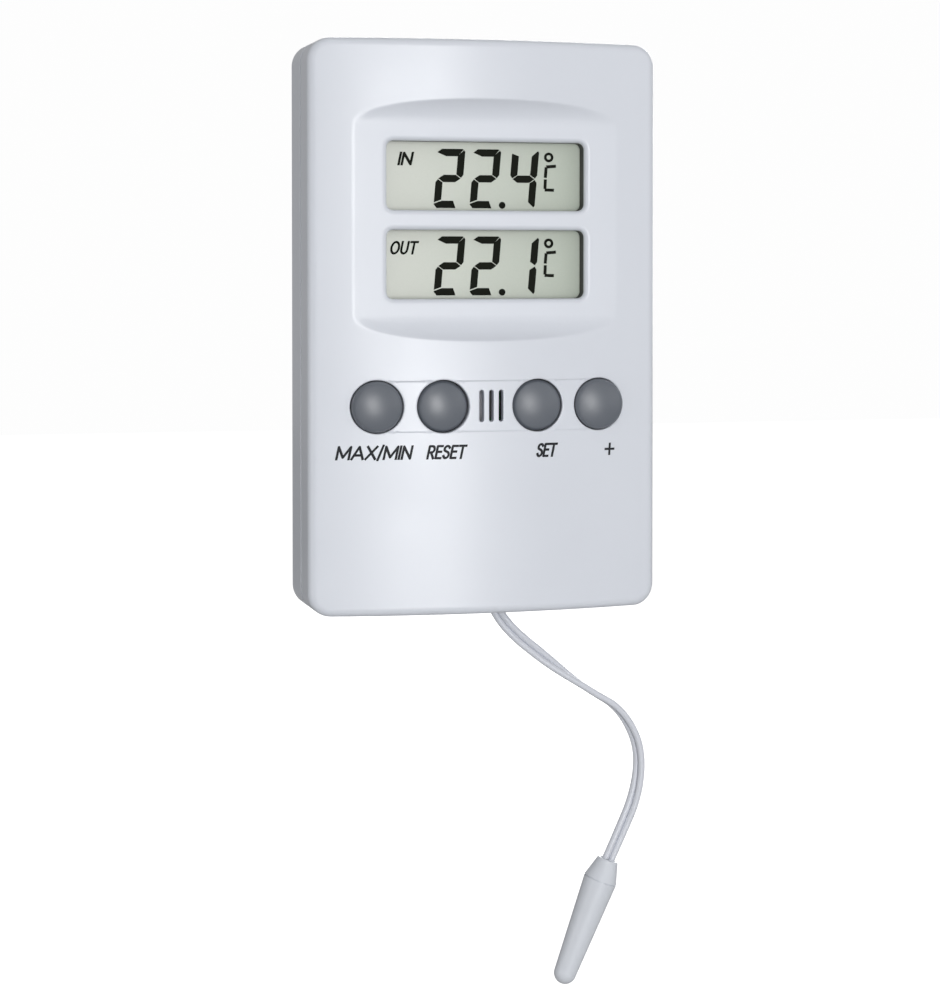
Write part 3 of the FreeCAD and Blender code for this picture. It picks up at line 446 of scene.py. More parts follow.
# The shallow band round the buttons, the walls, the parting line's groove and the panel.
BAND_HALF, BAND_SUNK, BAND_SLOPE = 5.0, 0.2, 0.3
WALL, PANEL_WALL, BED_HALF = 1.8, 1.0, (23.1, 18.7)
SEAM_TALL, SEAM_INSET, SIDE_ROW = 0.9, 1.0, 3.5
PANEL_UP = sum(FRAME_SPAN[2]) / 2 - FACE_Z
PANEL_FLAT, PANEL_HALF, SCOOP_HALF = 18.0, 23.1, 27
# How soft the crease is where the panel meets the crown, along its sides and at its two ends.
CREASE_SIDE, CREASE_END = 0.08, 0.25
CREASE_STEPS = 150
CREASE_ROWS = (0, -0.15, 0.15, -0.3, 0.3, -0.45, 0.45, -0.8, 0.8)


def crown_depth(x):
    """Depth of the crowned front at that X."""
    rise = sizes().crown_rise / MM
    bend = (HALF_W ** 2 + rise ** 2) / (2 * rise)
    return APEX - bend + math.sqrt(bend ** 2 - x ** 2)


def panel_depth(up):
    """Depth of the panel's floor, which sweeps up to the crown at its top and bottom."""
    floor = sizes().panel_deep / MM
    rise, run = APEX - floor, PANEL_HALF - PANEL_FLAT
    scoop = (rise ** 2 + run ** 2) / (2 * rise)
    past = abs(up - PANEL_UP) - PANEL_FLAT
    if past <= 0:
        return floor
    return floor + scoop - math.sqrt(scoop ** 2 - past ** 2) if past < scoop else floor + scoop


def eased(value, low, high):
    """From 0 at low to 1 at high, with level ends."""
    part = min(max((value - low) / (high - low), 0), 1)
    return part * part * (3 - 2 * part)


def face_depth(x, up):
    """Depth of the finished front at a point: the lower of crown and panel, with a soft crease between."""
    crown, panel = crown_depth(x), panel_depth(up)
    soft = CREASE_SIDE + (CREASE_END - CREASE_SIDE) * eased(abs(up - PANEL_UP), PANEL_FLAT, PANEL_FLAT + 3)
    near = max(soft - abs(crown - panel), 0) / soft
    depth = min(crown, panel) - near * near * soft / 4
    if KEY_X["maxmin"] < x < KEY_X["plus"]:
        outside = abs(up - KEY_UP) - BAND_HALF
        depth -= BAND_SUNK * (1 - eased(outside, -BAND_SLOPE, 0))
    return depth


def crease_line(offset):
    """Points along the panel's crease, moved outwards by the offset in millimetres."""
    bend = (HALF_W ** 2 + (APEX - crown_depth(HALF_W)) ** 2) / (2 * (APEX - crown_depth(HALF_W)))
    line = []
    for i in range(CREASE_STEPS + 1):
        up = PANEL_HALF * math.sin(math.pi / 2 * i / CREASE_STEPS)
        reach = math.sqrt(max(bend ** 2 - (bend - (APEX - panel_depth(PANEL_UP + up))) ** 2, 0))
        line.append((reach, up))
    points = []
    for i, (x, up) in enumerate(line):
        before = line[i - 1] if i else (line[1][0], -line[1][1])
        after = line[i + 1] if i < CREASE_STEPS else (-before[0], before[1])
        along = (after[0] - before[0], after[1] - before[1])
        length = math.hypot(*along)
        out = (along[1] / length, -along[0] / length)
        moved_x, moved_up = max(x + offset * out[0], 0), up + offset * out[1]
        points += [(side_x * moved_x, PANEL_UP + side_up * moved_up)
                   for side_x in (-1, 1) for side_up in (-1, 1)]
    return points


def thinned(points, keep_away, spacing):
    """Points in order, leaving out each that is within the spacing of one kept or of keep_away."""
    cells, kept = {}, []
    for number, point in enumerate(keep_away + points):
        column, row = (math.floor(value / spacing) for value in point)
        nearby = [other for i in (-1, 0, 1) for j in (-1, 0, 1)
                  for other in cells.get((column + i, row + j), ())]
        fixed = number < len(keep_away)
        if fixed or all(math.dist(point, other) >= spacing for other in nearby):
            cells.setdefault((column, row), []).append(point)
            kept += [] if fixed else [point]
    return kept


def span_points(low, high, spacing):
    """Even places from low to high, about the spacing apart."""
    count = max(1, round((high - low) / spacing))
    return [low + (high - low) * i / count for i in range(count + 1)]


def front_shell(material):
    """The crowned front with its panel, windows and holes, closed by its inside wall and its rim."""
    edge, corner = sizes().edge_round / MM, sizes().corner_round / MM
    spacing = sizes().grid / MM
    case = Rounded(0, 0, HALF_W, HALF_TALL, corner, step=1.0, corner_steps=10)
    windows = [Rounded(0, up, *WINDOW_HALF, WINDOW_CORNER, step=1.0, corner_steps=6) for up in WINDOW_UPS]
    holes = [(window, WINDOW_LIP, "window") for window in windows]
    holes += [(Rounded(KEY_X[key], KEY_UP, KEY_HOLE, KEY_HOLE, KEY_HOLE, corner_steps=18), KEY_LIP, "key")
              for key in KEYS]
    holes += [(Rounded(SLOT_X + step * SLOT_PITCH, KEY_UP, *SLOT_HALF, SLOT_HALF[0], step=0.6,
                       corner_steps=5), SLOT_LIP, "slot") for step in (-1, 0, 1)]

    rim = case.ring(-edge)
    points, rings, edges = [], [], []
    for ring in [rim] + [hole.ring(lip) for hole, lip, _ in holes]:
        numbers = list(range(len(points), len(points) + len(ring)))
        points += ring
        rings.append(numbers)
        edges += zip(numbers, numbers[1:] + numbers[:1])

    def inside(point, margin):
        return (case.distance(*point) < -edge - margin
                and all(hole.distance(*point) > lip + margin for hole, lip, _ in holes))

    fine = [p for hole, lip, _ in holes for p in hole.ring(lip + 0.15)]
    fine += [p for hole, lip, kind in holes if kind != "slot" for p in hole.ring(lip + 0.5)]
    fine += case.ring(-edge - 0.25)
    crease = [p for offset in CREASE_ROWS for p in crease_line(offset)]
    scoops = []
    for side in (-1, 1):
        for out in (-BAND_SLOPE - 0.15, -BAND_SLOPE, -BAND_SLOPE / 2, -0.02, 0.15):
            up = KEY_UP + side * (BAND_HALF + out)
            fine += [(x, up) for x in span_points(KEY_X["maxmin"], KEY_X["plus"], 0.7)]
        for past in span_points(0, PANEL_HALF - PANEL_FLAT, 0.4):
            up = PANEL_UP + side * (PANEL_FLAT + past)
            scoops += [(x, up) for x in span_points(-SCOOP_HALF, SCOOP_HALF, spacing)]
    fine += crease + thinned(scoops, crease, 0.3)
    fine = thinned([p for p in fine if inside(p, 0.08)], [], 0.1)
    coarse = [(x, up) for up in span_points(-HALF_TALL, HALF_TALL, spacing)
              for x in span_points(-HALF_W, HALF_W, spacing)]
    coarse = thinned([p for p in coarse if inside(p, 0.45)], fine, 0.45)
    points += fine + coarse

    shape_points, _, triangles, sources, *_ = delaunay_2d_cdt(
        [Vector(p) for p in points], edges, [], 0, 1e-6)
    placed = {original: number for number, source in enumerate(sources) for original in source}
    flat = [(p.x, p.y) for p in shape_points]
    triangles = [list(t) for t in triangles
                 if inside([sum(flat[i][k] for i in t) / 3 for k in (0, 1)], 0.0)]
    rings = [[placed[i] for i in ring] for ring in rings]

    def inner_depth(x, up):
        bed = Rounded(0, PANEL_UP, *BED_HALF, 0.1)
        thinner = 1 - eased(bed.distance(x, up), 0, 0.8)
        return face_depth(x, up) - WALL + (WALL - PANEL_WALL) * thinner

    solid = [(x, face_depth(x, up), up) for x, up in flat]
    faces = list(triangles)
    count = len(solid)
    inner_rim = dict(zip(rings[0], case.ring(-WALL)))
    for number, (x, up) in enumerate(flat):
        x, up = inner_rim.get(number, (x, up))
        solid.append((x, inner_depth(x, up), up))
    faces += [[i + count for i in reversed(t)] for t in triangles]

    def add_ring(last, ring_points):
        ring = list(range(len(solid), len(solid) + len(ring_points)))
        solid.extend(ring_points)
        faces.extend(bridge(last, ring))
        return ring

    steps = 4
    for (hole, lip, _), ring in zip(holes, rings[1:]):
        last = ring
        for i in range(1, steps + 1):
            turn = math.pi / 2 * i / steps
            drop = lip * (1 - math.cos(turn))
            narrower = hole.ring(lip * (1 - math.sin(turn)))
            last = add_ring(last, [(x, solid[ring[n]][1] - drop, up) for n, (x, up) in enumerate(narrower)])
        wall = add_ring(last, [(x, inner_depth(*flat[ring[n]]), up)
                               for n, (x, up) in enumerate(hole.ring())])
        faces += bridge(wall, [i + count for i in ring])

    last = rings[0]
    for i in range(1, steps + 3):
        turn = math.pi / 2 * i / (steps + 2)
        ring = case.ring(-edge * (1 - math.sin(turn)))
        last = add_ring(last, [(x, crown_depth(x) - edge * (1 - math.cos(turn)), up) for x, up in ring])
    for inset, deep in ((0, SEAM + SIDE_ROW), (0, SEAM + SEAM_TALL), (SEAM_INSET, SEAM + SEAM_TALL - 0.05),
                        (SEAM_INSET, SEAM), (WALL, SEAM)):
        last = add_ring(last, [(x, deep, up) for x, up in case.ring(-inset)])
    faces += bridge(last, [i + count for i in rings[0]])
    return millimetre_mesh("front_shell", [(x, deep, up + FACE_Z) for x, deep, up in solid], faces, material)


# ---- Strokes and segments ----

def curve(x, up, half_x, half_up, start, end, steps=10):
    """Points of an arc, its angles in degrees."""
    turns = [math.radians(start + (end - start) * i / steps) for i in range(steps + 1)]
    return [(x + half_x * math.cos(turn), up + half_up * math.sin(turn)) for turn in turns]


# Each letter's width as a share of its height, and its strokes in a box of 1 by 1.
LETTERS = {
    "M": (1.05, [[(0, 0), (0, 1), (0.5, 0.12), (1, 1), (1, 0)]]),
    "A": (0.95, [[(0, 0), (0.5, 1), (1, 0)], [(0.17, 0.3), (0.83, 0.3)]]),
    "X": (0.8, [[(0, 0), (1, 1)], [(0, 1), (1, 0)]]),
    "/": (0.26, [[(0, -0.08), (1, 1.08)]]),
    "I": (0.0, [[(0, 0), (0, 1)]]),
    "N": (0.72, [[(0, 0), (0, 1), (1, 0), (1, 1)]]),
    "R": (0.55, [[(0, 0), (0, 1), (0.4, 1)] + curve(0.55, 0.74, 0.42, 0.26, 90, -90) + [(0, 0.48)],
                 [(0.45, 0.48), (1, 0)]]),
    "E": (0.48, [[(1, 0), (0, 0), (0, 1), (1, 1)], [(0, 0.53), (0.9, 0.53)]]),
    "S": (0.52, [curve(0.5, 0.76, 0.5, 0.24, 25, 215) + curve(0.5, 0.26, 0.5, 0.26, 60, -160)]),
    "T": (0.62, [[(0, 1), (1, 1)], [(0.5, 1), (0.5, 0)]]),
    "O": (0.72, [curve(0.5, 0.5, 0.5, 0.5, 0, 360, 24)]),
    "U": (0.58, [[(0, 1)] + curve(0.5, 0.34, 0.5, 0.34, 180, 360, 12) + [(1, 1)]]),
    "+": (0.86, [[(0, 0.5), (1, 0.5)], [(0.5, 0), (0.5, 1)]]),
}

LETTER_GAP, LETTER_LEAN, PLUS_LEAN = 0.26, 12, 4
INK_PROUD, INK_THICK = 0.03, 0.06


def stroke_polygons(line, thick):
    """Rectangles with square ends along a line, and a round at each bend."""
    polygons = []
    half = thick / 2
    for number, (first, second) in enumerate(zip(line, line[1:])):
        length = math.dist(first, second)
        along = ((second[0] - first[0]) / length * half, (second[1] - first[1]) / length * half)
        before, after = number == 0, number == len(line) - 2
        start = (first[0] - before * along[0], first[1] - before * along[1])
        end = (second[0] + after * along[0], second[1] + after * along[1])
        polygons.append([(start[0] + along[1], start[1] - along[0]), (end[0] + along[1], end[1] - along[0]),
                         (end[0] - along[1], end[1] + along[0]), (start[0] - along[1], start[1] + along[0])])
    polygons += [curve(*bend, half, half, 0, 330, 11) for bend in line[1:-1]]
    return polygons


def lettering(text, left, right, base, tall, thick, lean):
    """Polygons of a word set between left and right, its strokes leaning by that many degrees."""
    natural = sum(LETTERS[c][0] for c in text) + LETTER_GAP * (len(text) - 1)
    shear = math.tan(math.radians(lean))
    wide = (right - left - thick - tall * shear) / natural
    polygons = []
    pen = left + thick / 2
    for letter in text:
        width, lines = LETTERS[letter]
        for line in lines:
            drawn = [(pen + x * width * wide, thick / 2 + up * (tall - thick)) for x, up in line]
            for polygon in stroke_polygons(drawn, thick):
                polygons.append([(x + up * shear, base + up) for x, up in polygon])
        pen += (width + LETTER_GAP) * wide
    return polygons


# The lit segments of each digit, where the digits and the signs stand, and the strokes' widths.
SEGMENTS = {"2": "abged", "4": "fgbc", "1": "bc"}
DIGIT_LEFTS, DIGIT_WIDE, DIGIT_THICK, DIGIT_LEAN = (-10.68, -3.58, 4.02), 5.38, 1.4, 5
POINT_X, POINT_UP, POINT_ROUND = 2.95, 0.6, 0.66
DEGREE_X, DEGREE_ROUNDS = 12.28, (0.95, 0.43)
UNIT_THICK, WORD_TALL = 0.6, 2.6
MARKS_PROUD, MARKS_THICK = 0.04, 0.05
# The display lies behind the panel, so its marks are a little larger and further to the right.
GLASS_SCALE, GLASS_SHIFT = 1.00794, (0.946, -0.090)


def digit_polygons(digit, left, base, wide, tall, thick, lean):
    """The lit segments of one digit, pointed and parted by fine gaps."""
    half, cut = tall / 2, thick * 0.5
    top = [(-0.12, tall - 0.66), (0.75, tall), (wide - 0.62, tall), (wide - 0.36, tall - 0.12),
           (wide - thick - 0.06, tall - thick), (thick + 0.25, tall - thick)]
    bottom = [(0.0, 0.72), (0.62, 0), (wide - 1.0, 0), (wide - 1.62, thick), (thick + 0.12, thick),
              (0.05, 0.86)]
    right = [(wide - thick, tall - thick + 0.12), (wide - 0.24, tall - 0.22), (wide, tall - 0.55),
             (wide, half + 0.72), (wide - 0.42, half + 0.14), (wide - thick, half + cut + 0.08)]
    lower_left = [(0.0, 1.08), (thick, thick + 0.2), (thick, half - cut - 0.08), (0.42, half - 0.14),
                  (0.0, half - 0.72)]
    upper_left = [(0.0, tall - 0.75), (thick, tall - 1.25), (thick, half + cut + 0.08), (0.42, half + 0.14),
                  (0.0, half + 0.72)]
    middle = [(0.5, half), (thick + 0.1, half + cut), (wide - thick - 0.1, half + cut), (wide - 0.5, half),
              (wide - thick - 0.1, half - cut), (thick + 0.1, half - cut)]
    lower_right = [(x, tall - up) for x, up in reversed(right)]
    shapes = {"a": top, "b": right, "c": lower_right, "d": bottom, "e": lower_left, "f": upper_left,
              "g": middle}
    shear = math.tan(math.radians(lean))
    return [[(left + x + up * shear, base + up) for x, up in shapes[name]] for name in SEGMENTS[digit]]


def through_the_glass(x, up):
    """A place measured on the panel's face, carried back to the display film behind it."""
    return GLASS_SCALE * x + GLASS_SHIFT[0], GLASS_SCALE * up + GLASS_SHIFT[1]


def reading_polygons(digits, base, degree_up, unit_low, unit_high):
    """One row of the display: three digits, a point, and the degree and unit signs."""
    tall = sizes().digit_tall / MM
    polygons = []
    for digit, left in zip(digits, DIGIT_LEFTS):
        polygons += digit_polygons(digit, left, base, DIGIT_WIDE, tall, DIGIT_THICK, DIGIT_LEAN)
    polygons.append(curve(POINT_X, base + POINT_UP, POINT_ROUND, POINT_ROUND, 0, 342, 19))
    outer, inner = (curve(DEGREE_X, degree_up, radius, radius, 0, 360, 20) for radius in DEGREE_ROUNDS)
    polygons += [[outer[i], outer[i + 1], inner[i + 1], inner[i]] for i in range(20)]
    middle = (unit_low + unit_high) / 2
    strokes = [[(12.1, unit_high - 0.22), (13.45, unit_high - 0.1)],
               [(11.75, unit_high - 0.6), (11.62, middle + 0.4)],
               [(11.6, middle - 0.5), (11.55, unit_low + 0.7)],
               [(11.75, unit_low + 0.22), (13.05, unit_low + 0.18)]]
    for stroke in strokes:
        polygons += stroke_polygons(stroke, UNIT_THICK)
    return polygons


# ---- Buttons ----

# Radii of a button's rim, of its dome's edge, of its flange and of its stem, then heights.
KEY_ROUND, KEY_EDGE, KEY_FLANGE, KEY_STEM = 4.93, 4.42, 5.6, 2.2
DOME_RISE, FLANGE_LOW, FLANGE_HIGH = 0.75, 1.05, 1.85
# The rubber blister's height, and how far its foot is sunk in the mat.
BLISTER_TALL, BLISTER_SUNK = 0.8, 0.04


def turned_button(name, key, material):
    """A button on its stem and flange, tapered to a crisp edge round a shallow dome."""
    foot, top = KEY_SPANS[key][1]
    edge = top - DOME_RISE
    ball = (KEY_EDGE ** 2 + DOME_RISE ** 2) / (2 * DOME_RISE)
    profile = [(KEY_STEM, foot + BLISTER_TALL), (KEY_STEM, foot + FLANGE_LOW),
               (KEY_FLANGE, foot + FLANGE_LOW), (KEY_FLANGE, foot + FLANGE_HIGH),
               (KEY_ROUND, foot + FLANGE_HIGH), (KEY_ROUND, edge - 1.3),
               (KEY_ROUND - 0.08, edge - 0.6), (KEY_EDGE + 0.06, edge - 0.04)]
    turns = [math.asin(KEY_EDGE / ball) * (1 - i / 12) for i in range(12)]
    profile += [(ball * math.sin(turn), top - ball * (1 - math.cos(turn))) for turn in turns]
    return turned(name, key, profile, top, material)


def rubber_blister(name, key, material):
    """The cone of rubber that a button's stem stands on, as a fixed shape; the real one flattens as the
    button is pressed.
    """
    foot = KEY_SPANS[key][1][0]
    top = foot + BLISTER_TALL - 0.01
    profile = [(4.4, foot - BLISTER_SUNK), (4.1, foot + 0.1), (2.7, top), (1.2, top)]
    return turned(name, key, profile, top, material)


def turned(name, key, profile, top, material):
    """A solid turned about a button's axis from its profile, closed at the foot and at the top."""
    around = 96
    points, rings = [], []
    for radius, deep in profile:
        rings.append(range(len(points), len(points) + around))
        points += [(KEY_X[key] + radius * math.cos(math.tau * i / around), deep,
                    KEY_UP + FACE_Z + radius * math.sin(math.tau * i / around)) for i in range(around)]
    faces = [tuple(reversed(rings[0]))]
    for first, second in zip(rings, rings[1:]):
        faces += bridge(first, second)
    points.append((KEY_X[key], top, KEY_UP + FACE_Z))
    pole = len(points) - 1
    faces += [(rings[-1][i], rings[-1][(i + 1) % around], pole) for i in range(around)]
    return millimetre_mesh(name, points, faces, material, smooth_angle=20)


# ---- Lead ----

# The lead's control points, as (x, depth in front of the back, height above the face's centre).
LEAD_ROUTE = [
    (3.2, 6.0, -52.2), (5.5, 6.0, -56.9), (8.9, 6.0, -61.2), (13.7, 6.0, -65.2), (19.5, 6.0, -69.75),
    (25.4, 6.0, -73.85), (31.1, 6.0, -77.2), (34.85, 6.0, -83.2), (35.8, 6.0, -89.0), (34.65, 6.0, -95.9),
    (31.8, 6.0, -102.3), (28.75, 6.0, -108.7),
]
# Distance along the lead in millimetres, and how far the pair of cores is turned there in degrees.
LEAD_TURNS = ((0, -50), (13, -5), (31, 90), (47, 118), (70, 180))
CORE_SHARE, CORE_SIDES = 0.97, 14


def smooth_line(name, points):
    """Points along a smooth spline that has the given ones as its control points."""
    data = bpy.data.curves.new(name, "CURVE")
    data.dimensions = "3D"
    data.resolution_u = 24
    spline = data.splines.new("NURBS")
    spline.points.add(len(points) - 1)
    for target, point in zip(spline.points, points):
        target.co = (*point, 1.0)
    spline.order_u = 3
    spline.use_endpoint_u = True
    thing = added(name, data)
    bpy.context.view_layer.update()
    mesh = bpy.data.meshes.new_from_object(thing)
    line = [vertex.co.copy() for vertex in mesh.vertices]
    bpy.data.objects.remove(thing)
    bpy.data.meshes.remove(mesh)
    return line


def twin_lead(line, wide, material):
    """Two round cores joined side by side, which twist along the way."""
    core, around = wide / 4, CORE_SIDES
    travelled = 0.0
    rings = {1: [], -1: []}
    for number, place in enumerate(line):
        before, after = line[max(number - 1, 0)], line[min(number + 1, len(line) - 1)]
        if number:
            travelled += (place - line[number - 1]).length
        tangent = (after - before).normalized()
        flat = tangent.cross(Vector((0, 1, 0))).normalized()
        thin = flat.cross(tangent).normalized()
        turn = math.radians(LEAD_TURNS[0][1] + sum(
            (high - low) * eased(travelled, start * MM, end * MM)
            for (start, low), (end, high) in zip(LEAD_TURNS, LEAD_TURNS[1:])))

        def out_at(angle):
            return math.cos(angle) * flat + math.sin(angle) * thin

        for side in (1, -1):
            middle = place + out_at(turn) * side * core * CORE_SHARE
            rings[side].append([middle + core * out_at(math.tau * i / around) for i in range(around)])
    points, faces = [], []
    for side in rings.values():
        start = len(points)
        for ring in side:
            points += ring
        numbers = [list(range(start + n * around, start + (n + 1) * around)) for n in range(len(side))]
        for first, second in zip(numbers, numbers[1:]):
            faces += bridge(first, second)
        faces += [tuple(reversed(numbers[0])), tuple(numbers[-1])]
    return millimetre_mesh("lead", [(p.x / MM, -p.y / MM, p.z / MM) for p in points], faces, material)


def metres(points):
    """Points of the lead's route in the frame, in metres."""
    return [Vector((x * MM, -deep * MM, (up + FACE_Z) * MM)) for x, deep, up in points]


# ---- Finishes of the frame's own parts ----

WELD_WITHIN, SHARP_ANGLE = 0.002, 32


def finish_nodes(material, *nodes):
    """Gives nodes their material, and shades their fine facets as the curves they stand for."""
    for name in nodes:
        node = NODES[name]
        node.data.materials.clear()
        node.data.materials.append(material)
        node.data.shade_smooth()
        weld = node.modifiers.new("Weld", "WELD")
        weld.merge_threshold = WELD_WITHIN * MM
        split = node.modifiers.new("Split", "EDGE_SPLIT")
        split.split_angle = math.radians(SHARP_ANGLE)
        node.modifiers.new("Weighted", "WEIGHTED_NORMAL")


def weighted(piece):
    """Keeps the shading of large faces flat right up to their small rounds."""
    modifier = piece.modifiers.new("Weighted", "WEIGHTED_NORMAL")
    modifier.keep_sharp = True
    return piece


# ---- Stage ----

FLOOR_HALF, FLOOR_Z = 3.0, -0.27


def camera_glow(tree, unseen, seen):
    """A strength that differs between what the camera sees directly and what falls on the object."""
    path = add_node(tree, "ShaderNodeLightPath")
    return spread(tree, path.outputs["Is Camera Ray"], unseen, seen)


def softbox(name, place, target, size, watts):
    """A rectangular light that faces the target."""
    data = bpy.data.lights.new(name, "AREA")
    data.shape = "RECTANGLE"
    data.size, data.size_y = size
    data.energy = watts
    light = added(name, data)
    light.location = place
    light.rotation_euler = (target - Vector(place)).to_track_quat("-Z", "Y").to_euler()
    return light


def sweep(name, material):
    """A wide paper floor below the probe."""
    mesh = bpy.data.meshes.new(name)
    corners = ((-1, -1), (1, -1), (1, 1), (-1, 1))
    mesh.from_pydata([(x * FLOOR_HALF, y * FLOOR_HALF, FLOOR_Z) for x, y in corners], [], [(0, 1, 2, 3)])
    mesh.materials.append(material)
    return added(name, mesh)


# ---- Operators ----

class THERMOMETER_OT_camera(bpy.types.Operator):
    """Place the camera before the face, a little to its left"""
    bl_idname = "thermometer.camera"
    bl_label = "Camera"

    def execute(self, context):
        data = bpy.data.cameras.new("camera")
        data.lens = 85.6
        data.shift_x, data.shift_y = -0.0147, -0.173
        data.clip_start = 0.02
        camera = added("camera", data)
        camera.location = (-0.1193, -0.4608, -0.0307)
        ahead = Vector((0.260, 0.9653, -0.0247))
        camera.rotation_euler = ahead.to_track_quat("-Z", "Y").to_euler()
        context.scene.camera = camera
        return {"FINISHED"}


class THERMOMETER_OT_lead(bpy.types.Operator):
    """Make the twin lead from the case's bottom to the probe's cap"""
    bl_idname = "thermometer.lead"
    bl_label = "Lead"

    def execute(self, context):
        line = smooth_line("lead_line", metres(LEAD_ROUTE))
        vinyl = soft_vinyl("white_vinyl_lead", colours().lead)
        lead = twin_lead(line, sizes().lead_wide, vinyl)
        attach(lead, "housing")
        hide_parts("sensor_cord")
        return {"FINISHED"}


class THERMOMETER_OT_probe(bpy.types.Operator):
    """Finish the probe, its filling and the sensing bead inside"""
    bl_idname = "thermometer.probe"
    bl_label = "Probe"

    def execute(self, context):
        finish_nodes(satin_abs("probe_abs", colours().probe, rough=0.36), "probe_cap", "probe_body")
        finish_nodes(potting_resin("probe_resin"), "probe_filling")
        finish_nodes(glass_bead("sensor_bead"), "probe_sensor")
        return {"FINISHED"}


class THERMOMETER_OT_shells(bpy.types.Operator):
    """Make the front shell, and finish the back shell, the battery door and the stand"""
    bl_idname = "thermometer.shells"
    bl_label = "Shells"

    def execute(self, context):
        plastic = satin_abs("case_abs", colours().case)
        shell = weighted(front_shell(plastic))
        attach(shell, "housing")
        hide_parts("front_case")
        finish_nodes(plastic, "rear_case", "battery_door", "stand")
        return {"FINISHED"}


class THERMOMETER_OT_lettering(bpy.types.Operator):
    """Print the words under the buttons"""
    bl_idname = "thermometer.lettering"
    bl_label = "Lettering"

    def execute(self, context):
        ink = screen_ink("pad_print_ink", colours().ink)
        tall = sizes().letter_tall / MM
        # Name, text, left, right, base, height and stroke, in millimetres, and the lean in degrees.
        words = (("print_max_min", "MAX/MIN", -29.75, -14.9, -25.1, tall, 0.46, LETTER_LEAN),
                 ("print_reset", "RESET", -12.6, -4.5, -25.1, tall, 0.46, LETTER_LEAN),
                 ("print_set", "SET", 9.05, 13.7, -25.1, tall, 0.46, LETTER_LEAN),
                 ("print_plus", "+", 23.45, 25.75, -25.1, 2.4, 0.44, PLUS_LEAN))
        for name, *setting in words:
            word = extruded(name, lettering(*setting), lambda x, up: face_depth(x, up) + INK_PROUD,
                            INK_THICK, ink)
            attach(word, "housing")
        return {"FINISHED"}


class THERMOMETER_OT_display(bpy.types.Operator):
    """Finish the display's layers and draw its readings"""
    bl_idname = "thermometer.display"
    bl_label = "Display"

    def execute(self, context):
        finish_nodes(display_film("display_polariser_film", colours().display_painted_light, colours().display_painted_shade),
                     "display_polariser")
        finish_nodes(black_moulding("display_frame_abs"), "display_frame")
        finish_nodes(float_glass("display_glass"), "display_front_glass", "display_rear_glass")
        finish_nodes(plated_steel("reflector_foil", "#C9CCCB", 0.35), "display_reflector")
        finish_nodes(striped_elastomer("striped_rubber_connector"), "rubber_connector_strips")
        black = crystal_black("driven_crystal")
        # Name, then digits and heights of the digits, the degree sign and the unit, then the word.
        rows = (("upper_reading", ("224", 22.8, 32.7, 26.2, 31.1),
                 ("IN", -17.75, -14.4, 30.85, WORD_TALL, 0.48, LETTER_LEAN)),
                ("lower_reading", ("221", 6.1, 16.1, 9.7, 14.5),
                 ("OUT", -19.35, -13.45, 13.9, WORD_TALL, 0.42, LETTER_LEAN)))
        for name, reading, word in rows:
            polygons = reading_polygons(*reading) + lettering(*word)
            polygons = [[through_the_glass(x, up) for x, up in polygon] for polygon in polygons]
            marks = extruded(name, polygons, lambda x, up: DISPLAY_DEEP + MARKS_PROUD, MARKS_THICK, black)
            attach(marks, "housing")
        return {"FINISHED"}


class THERMOMETER_OT_buttons(bpy.types.Operator):
    """Turn the domed buttons and their rubber blisters, and finish the mats and carbon pills"""
    bl_idname = "thermometer.buttons"
    bl_label = "Buttons"

    def execute(self, context):
        grey = satin_abs("button_abs", colours().key, rough=0.37, grain_mm=0.3, depth_mm=0.003)
        rubber = silicone_rubber("grey_silicone", linear("#C4C4CA"))
        for name in KEYS:
            button = weighted(turned_button(f"{name}_dome", name, grey))
            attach(button, f"{name}_key")
            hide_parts(f"{name}_button")
            blister = rubber_blister(f"{name}_blister", name, rubber)
            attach(blister, "housing")
            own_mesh(blister)
        finish_nodes(silicone_rubber("carbon_rubber", linear("#202022")),
                     *(f"{name}_contact_pill" for name in KEYS))
        finish_nodes(rubber, "rubber_mat_left", "rubber_mat_right")
        return {"FINISHED"}


class THERMOMETER_OT_electronics(bpy.types.Operator):
    """Finish the board, its parts, the wires and the screws"""
    bl_idname = "thermometer.electronics"
    bl_label = "Electronics"

    def execute(self, context):
        finish_nodes(board_laminate("green_board"), "circuit_board")
        finish_nodes(black_moulding("chip_resin"), "chip_cover", "resistors_and_capacitors")
        finish_nodes(plated_steel("tinned_steel", "#C4C6C8", 0.3), "crystal")
        finish_nodes(glass_bead("room_sensor_bead"), "room_sensor")
        finish_nodes(black_moulding("sounder_abs"), "sounder")
        finish_nodes(plated_steel("zinc_plated_screws", "#B9BBBE", 0.32), "case_screws", "board_screws")
        finish_nodes(soft_vinyl("red_and_black_wire_vinyl", linear("#8E2A24")), "battery_wires")
        finish_nodes(soft_vinyl("grey_wire_vinyl", linear("#B9BCC2")), "sensor_wires")
        finish_nodes(black_moulding("clamp_abs"), "lead_clamp")
        return {"FINISHED"}


class THERMOMETER_OT_battery(bpy.types.Operator):
    """Finish the cell, its contacts and its spring"""
    bl_idname = "thermometer.battery"
    bl_label = "Battery"

    def execute(self, context):
        finish_nodes(cell_jacket("printed_cell_jacket"), "battery_cell")
        finish_nodes(plated_steel("nickel_plated_steel", "#C8C4BA", 0.28),
                     "battery_contact_minus", "battery_contact_plus", "battery_spring")
        return {"FINISHED"}


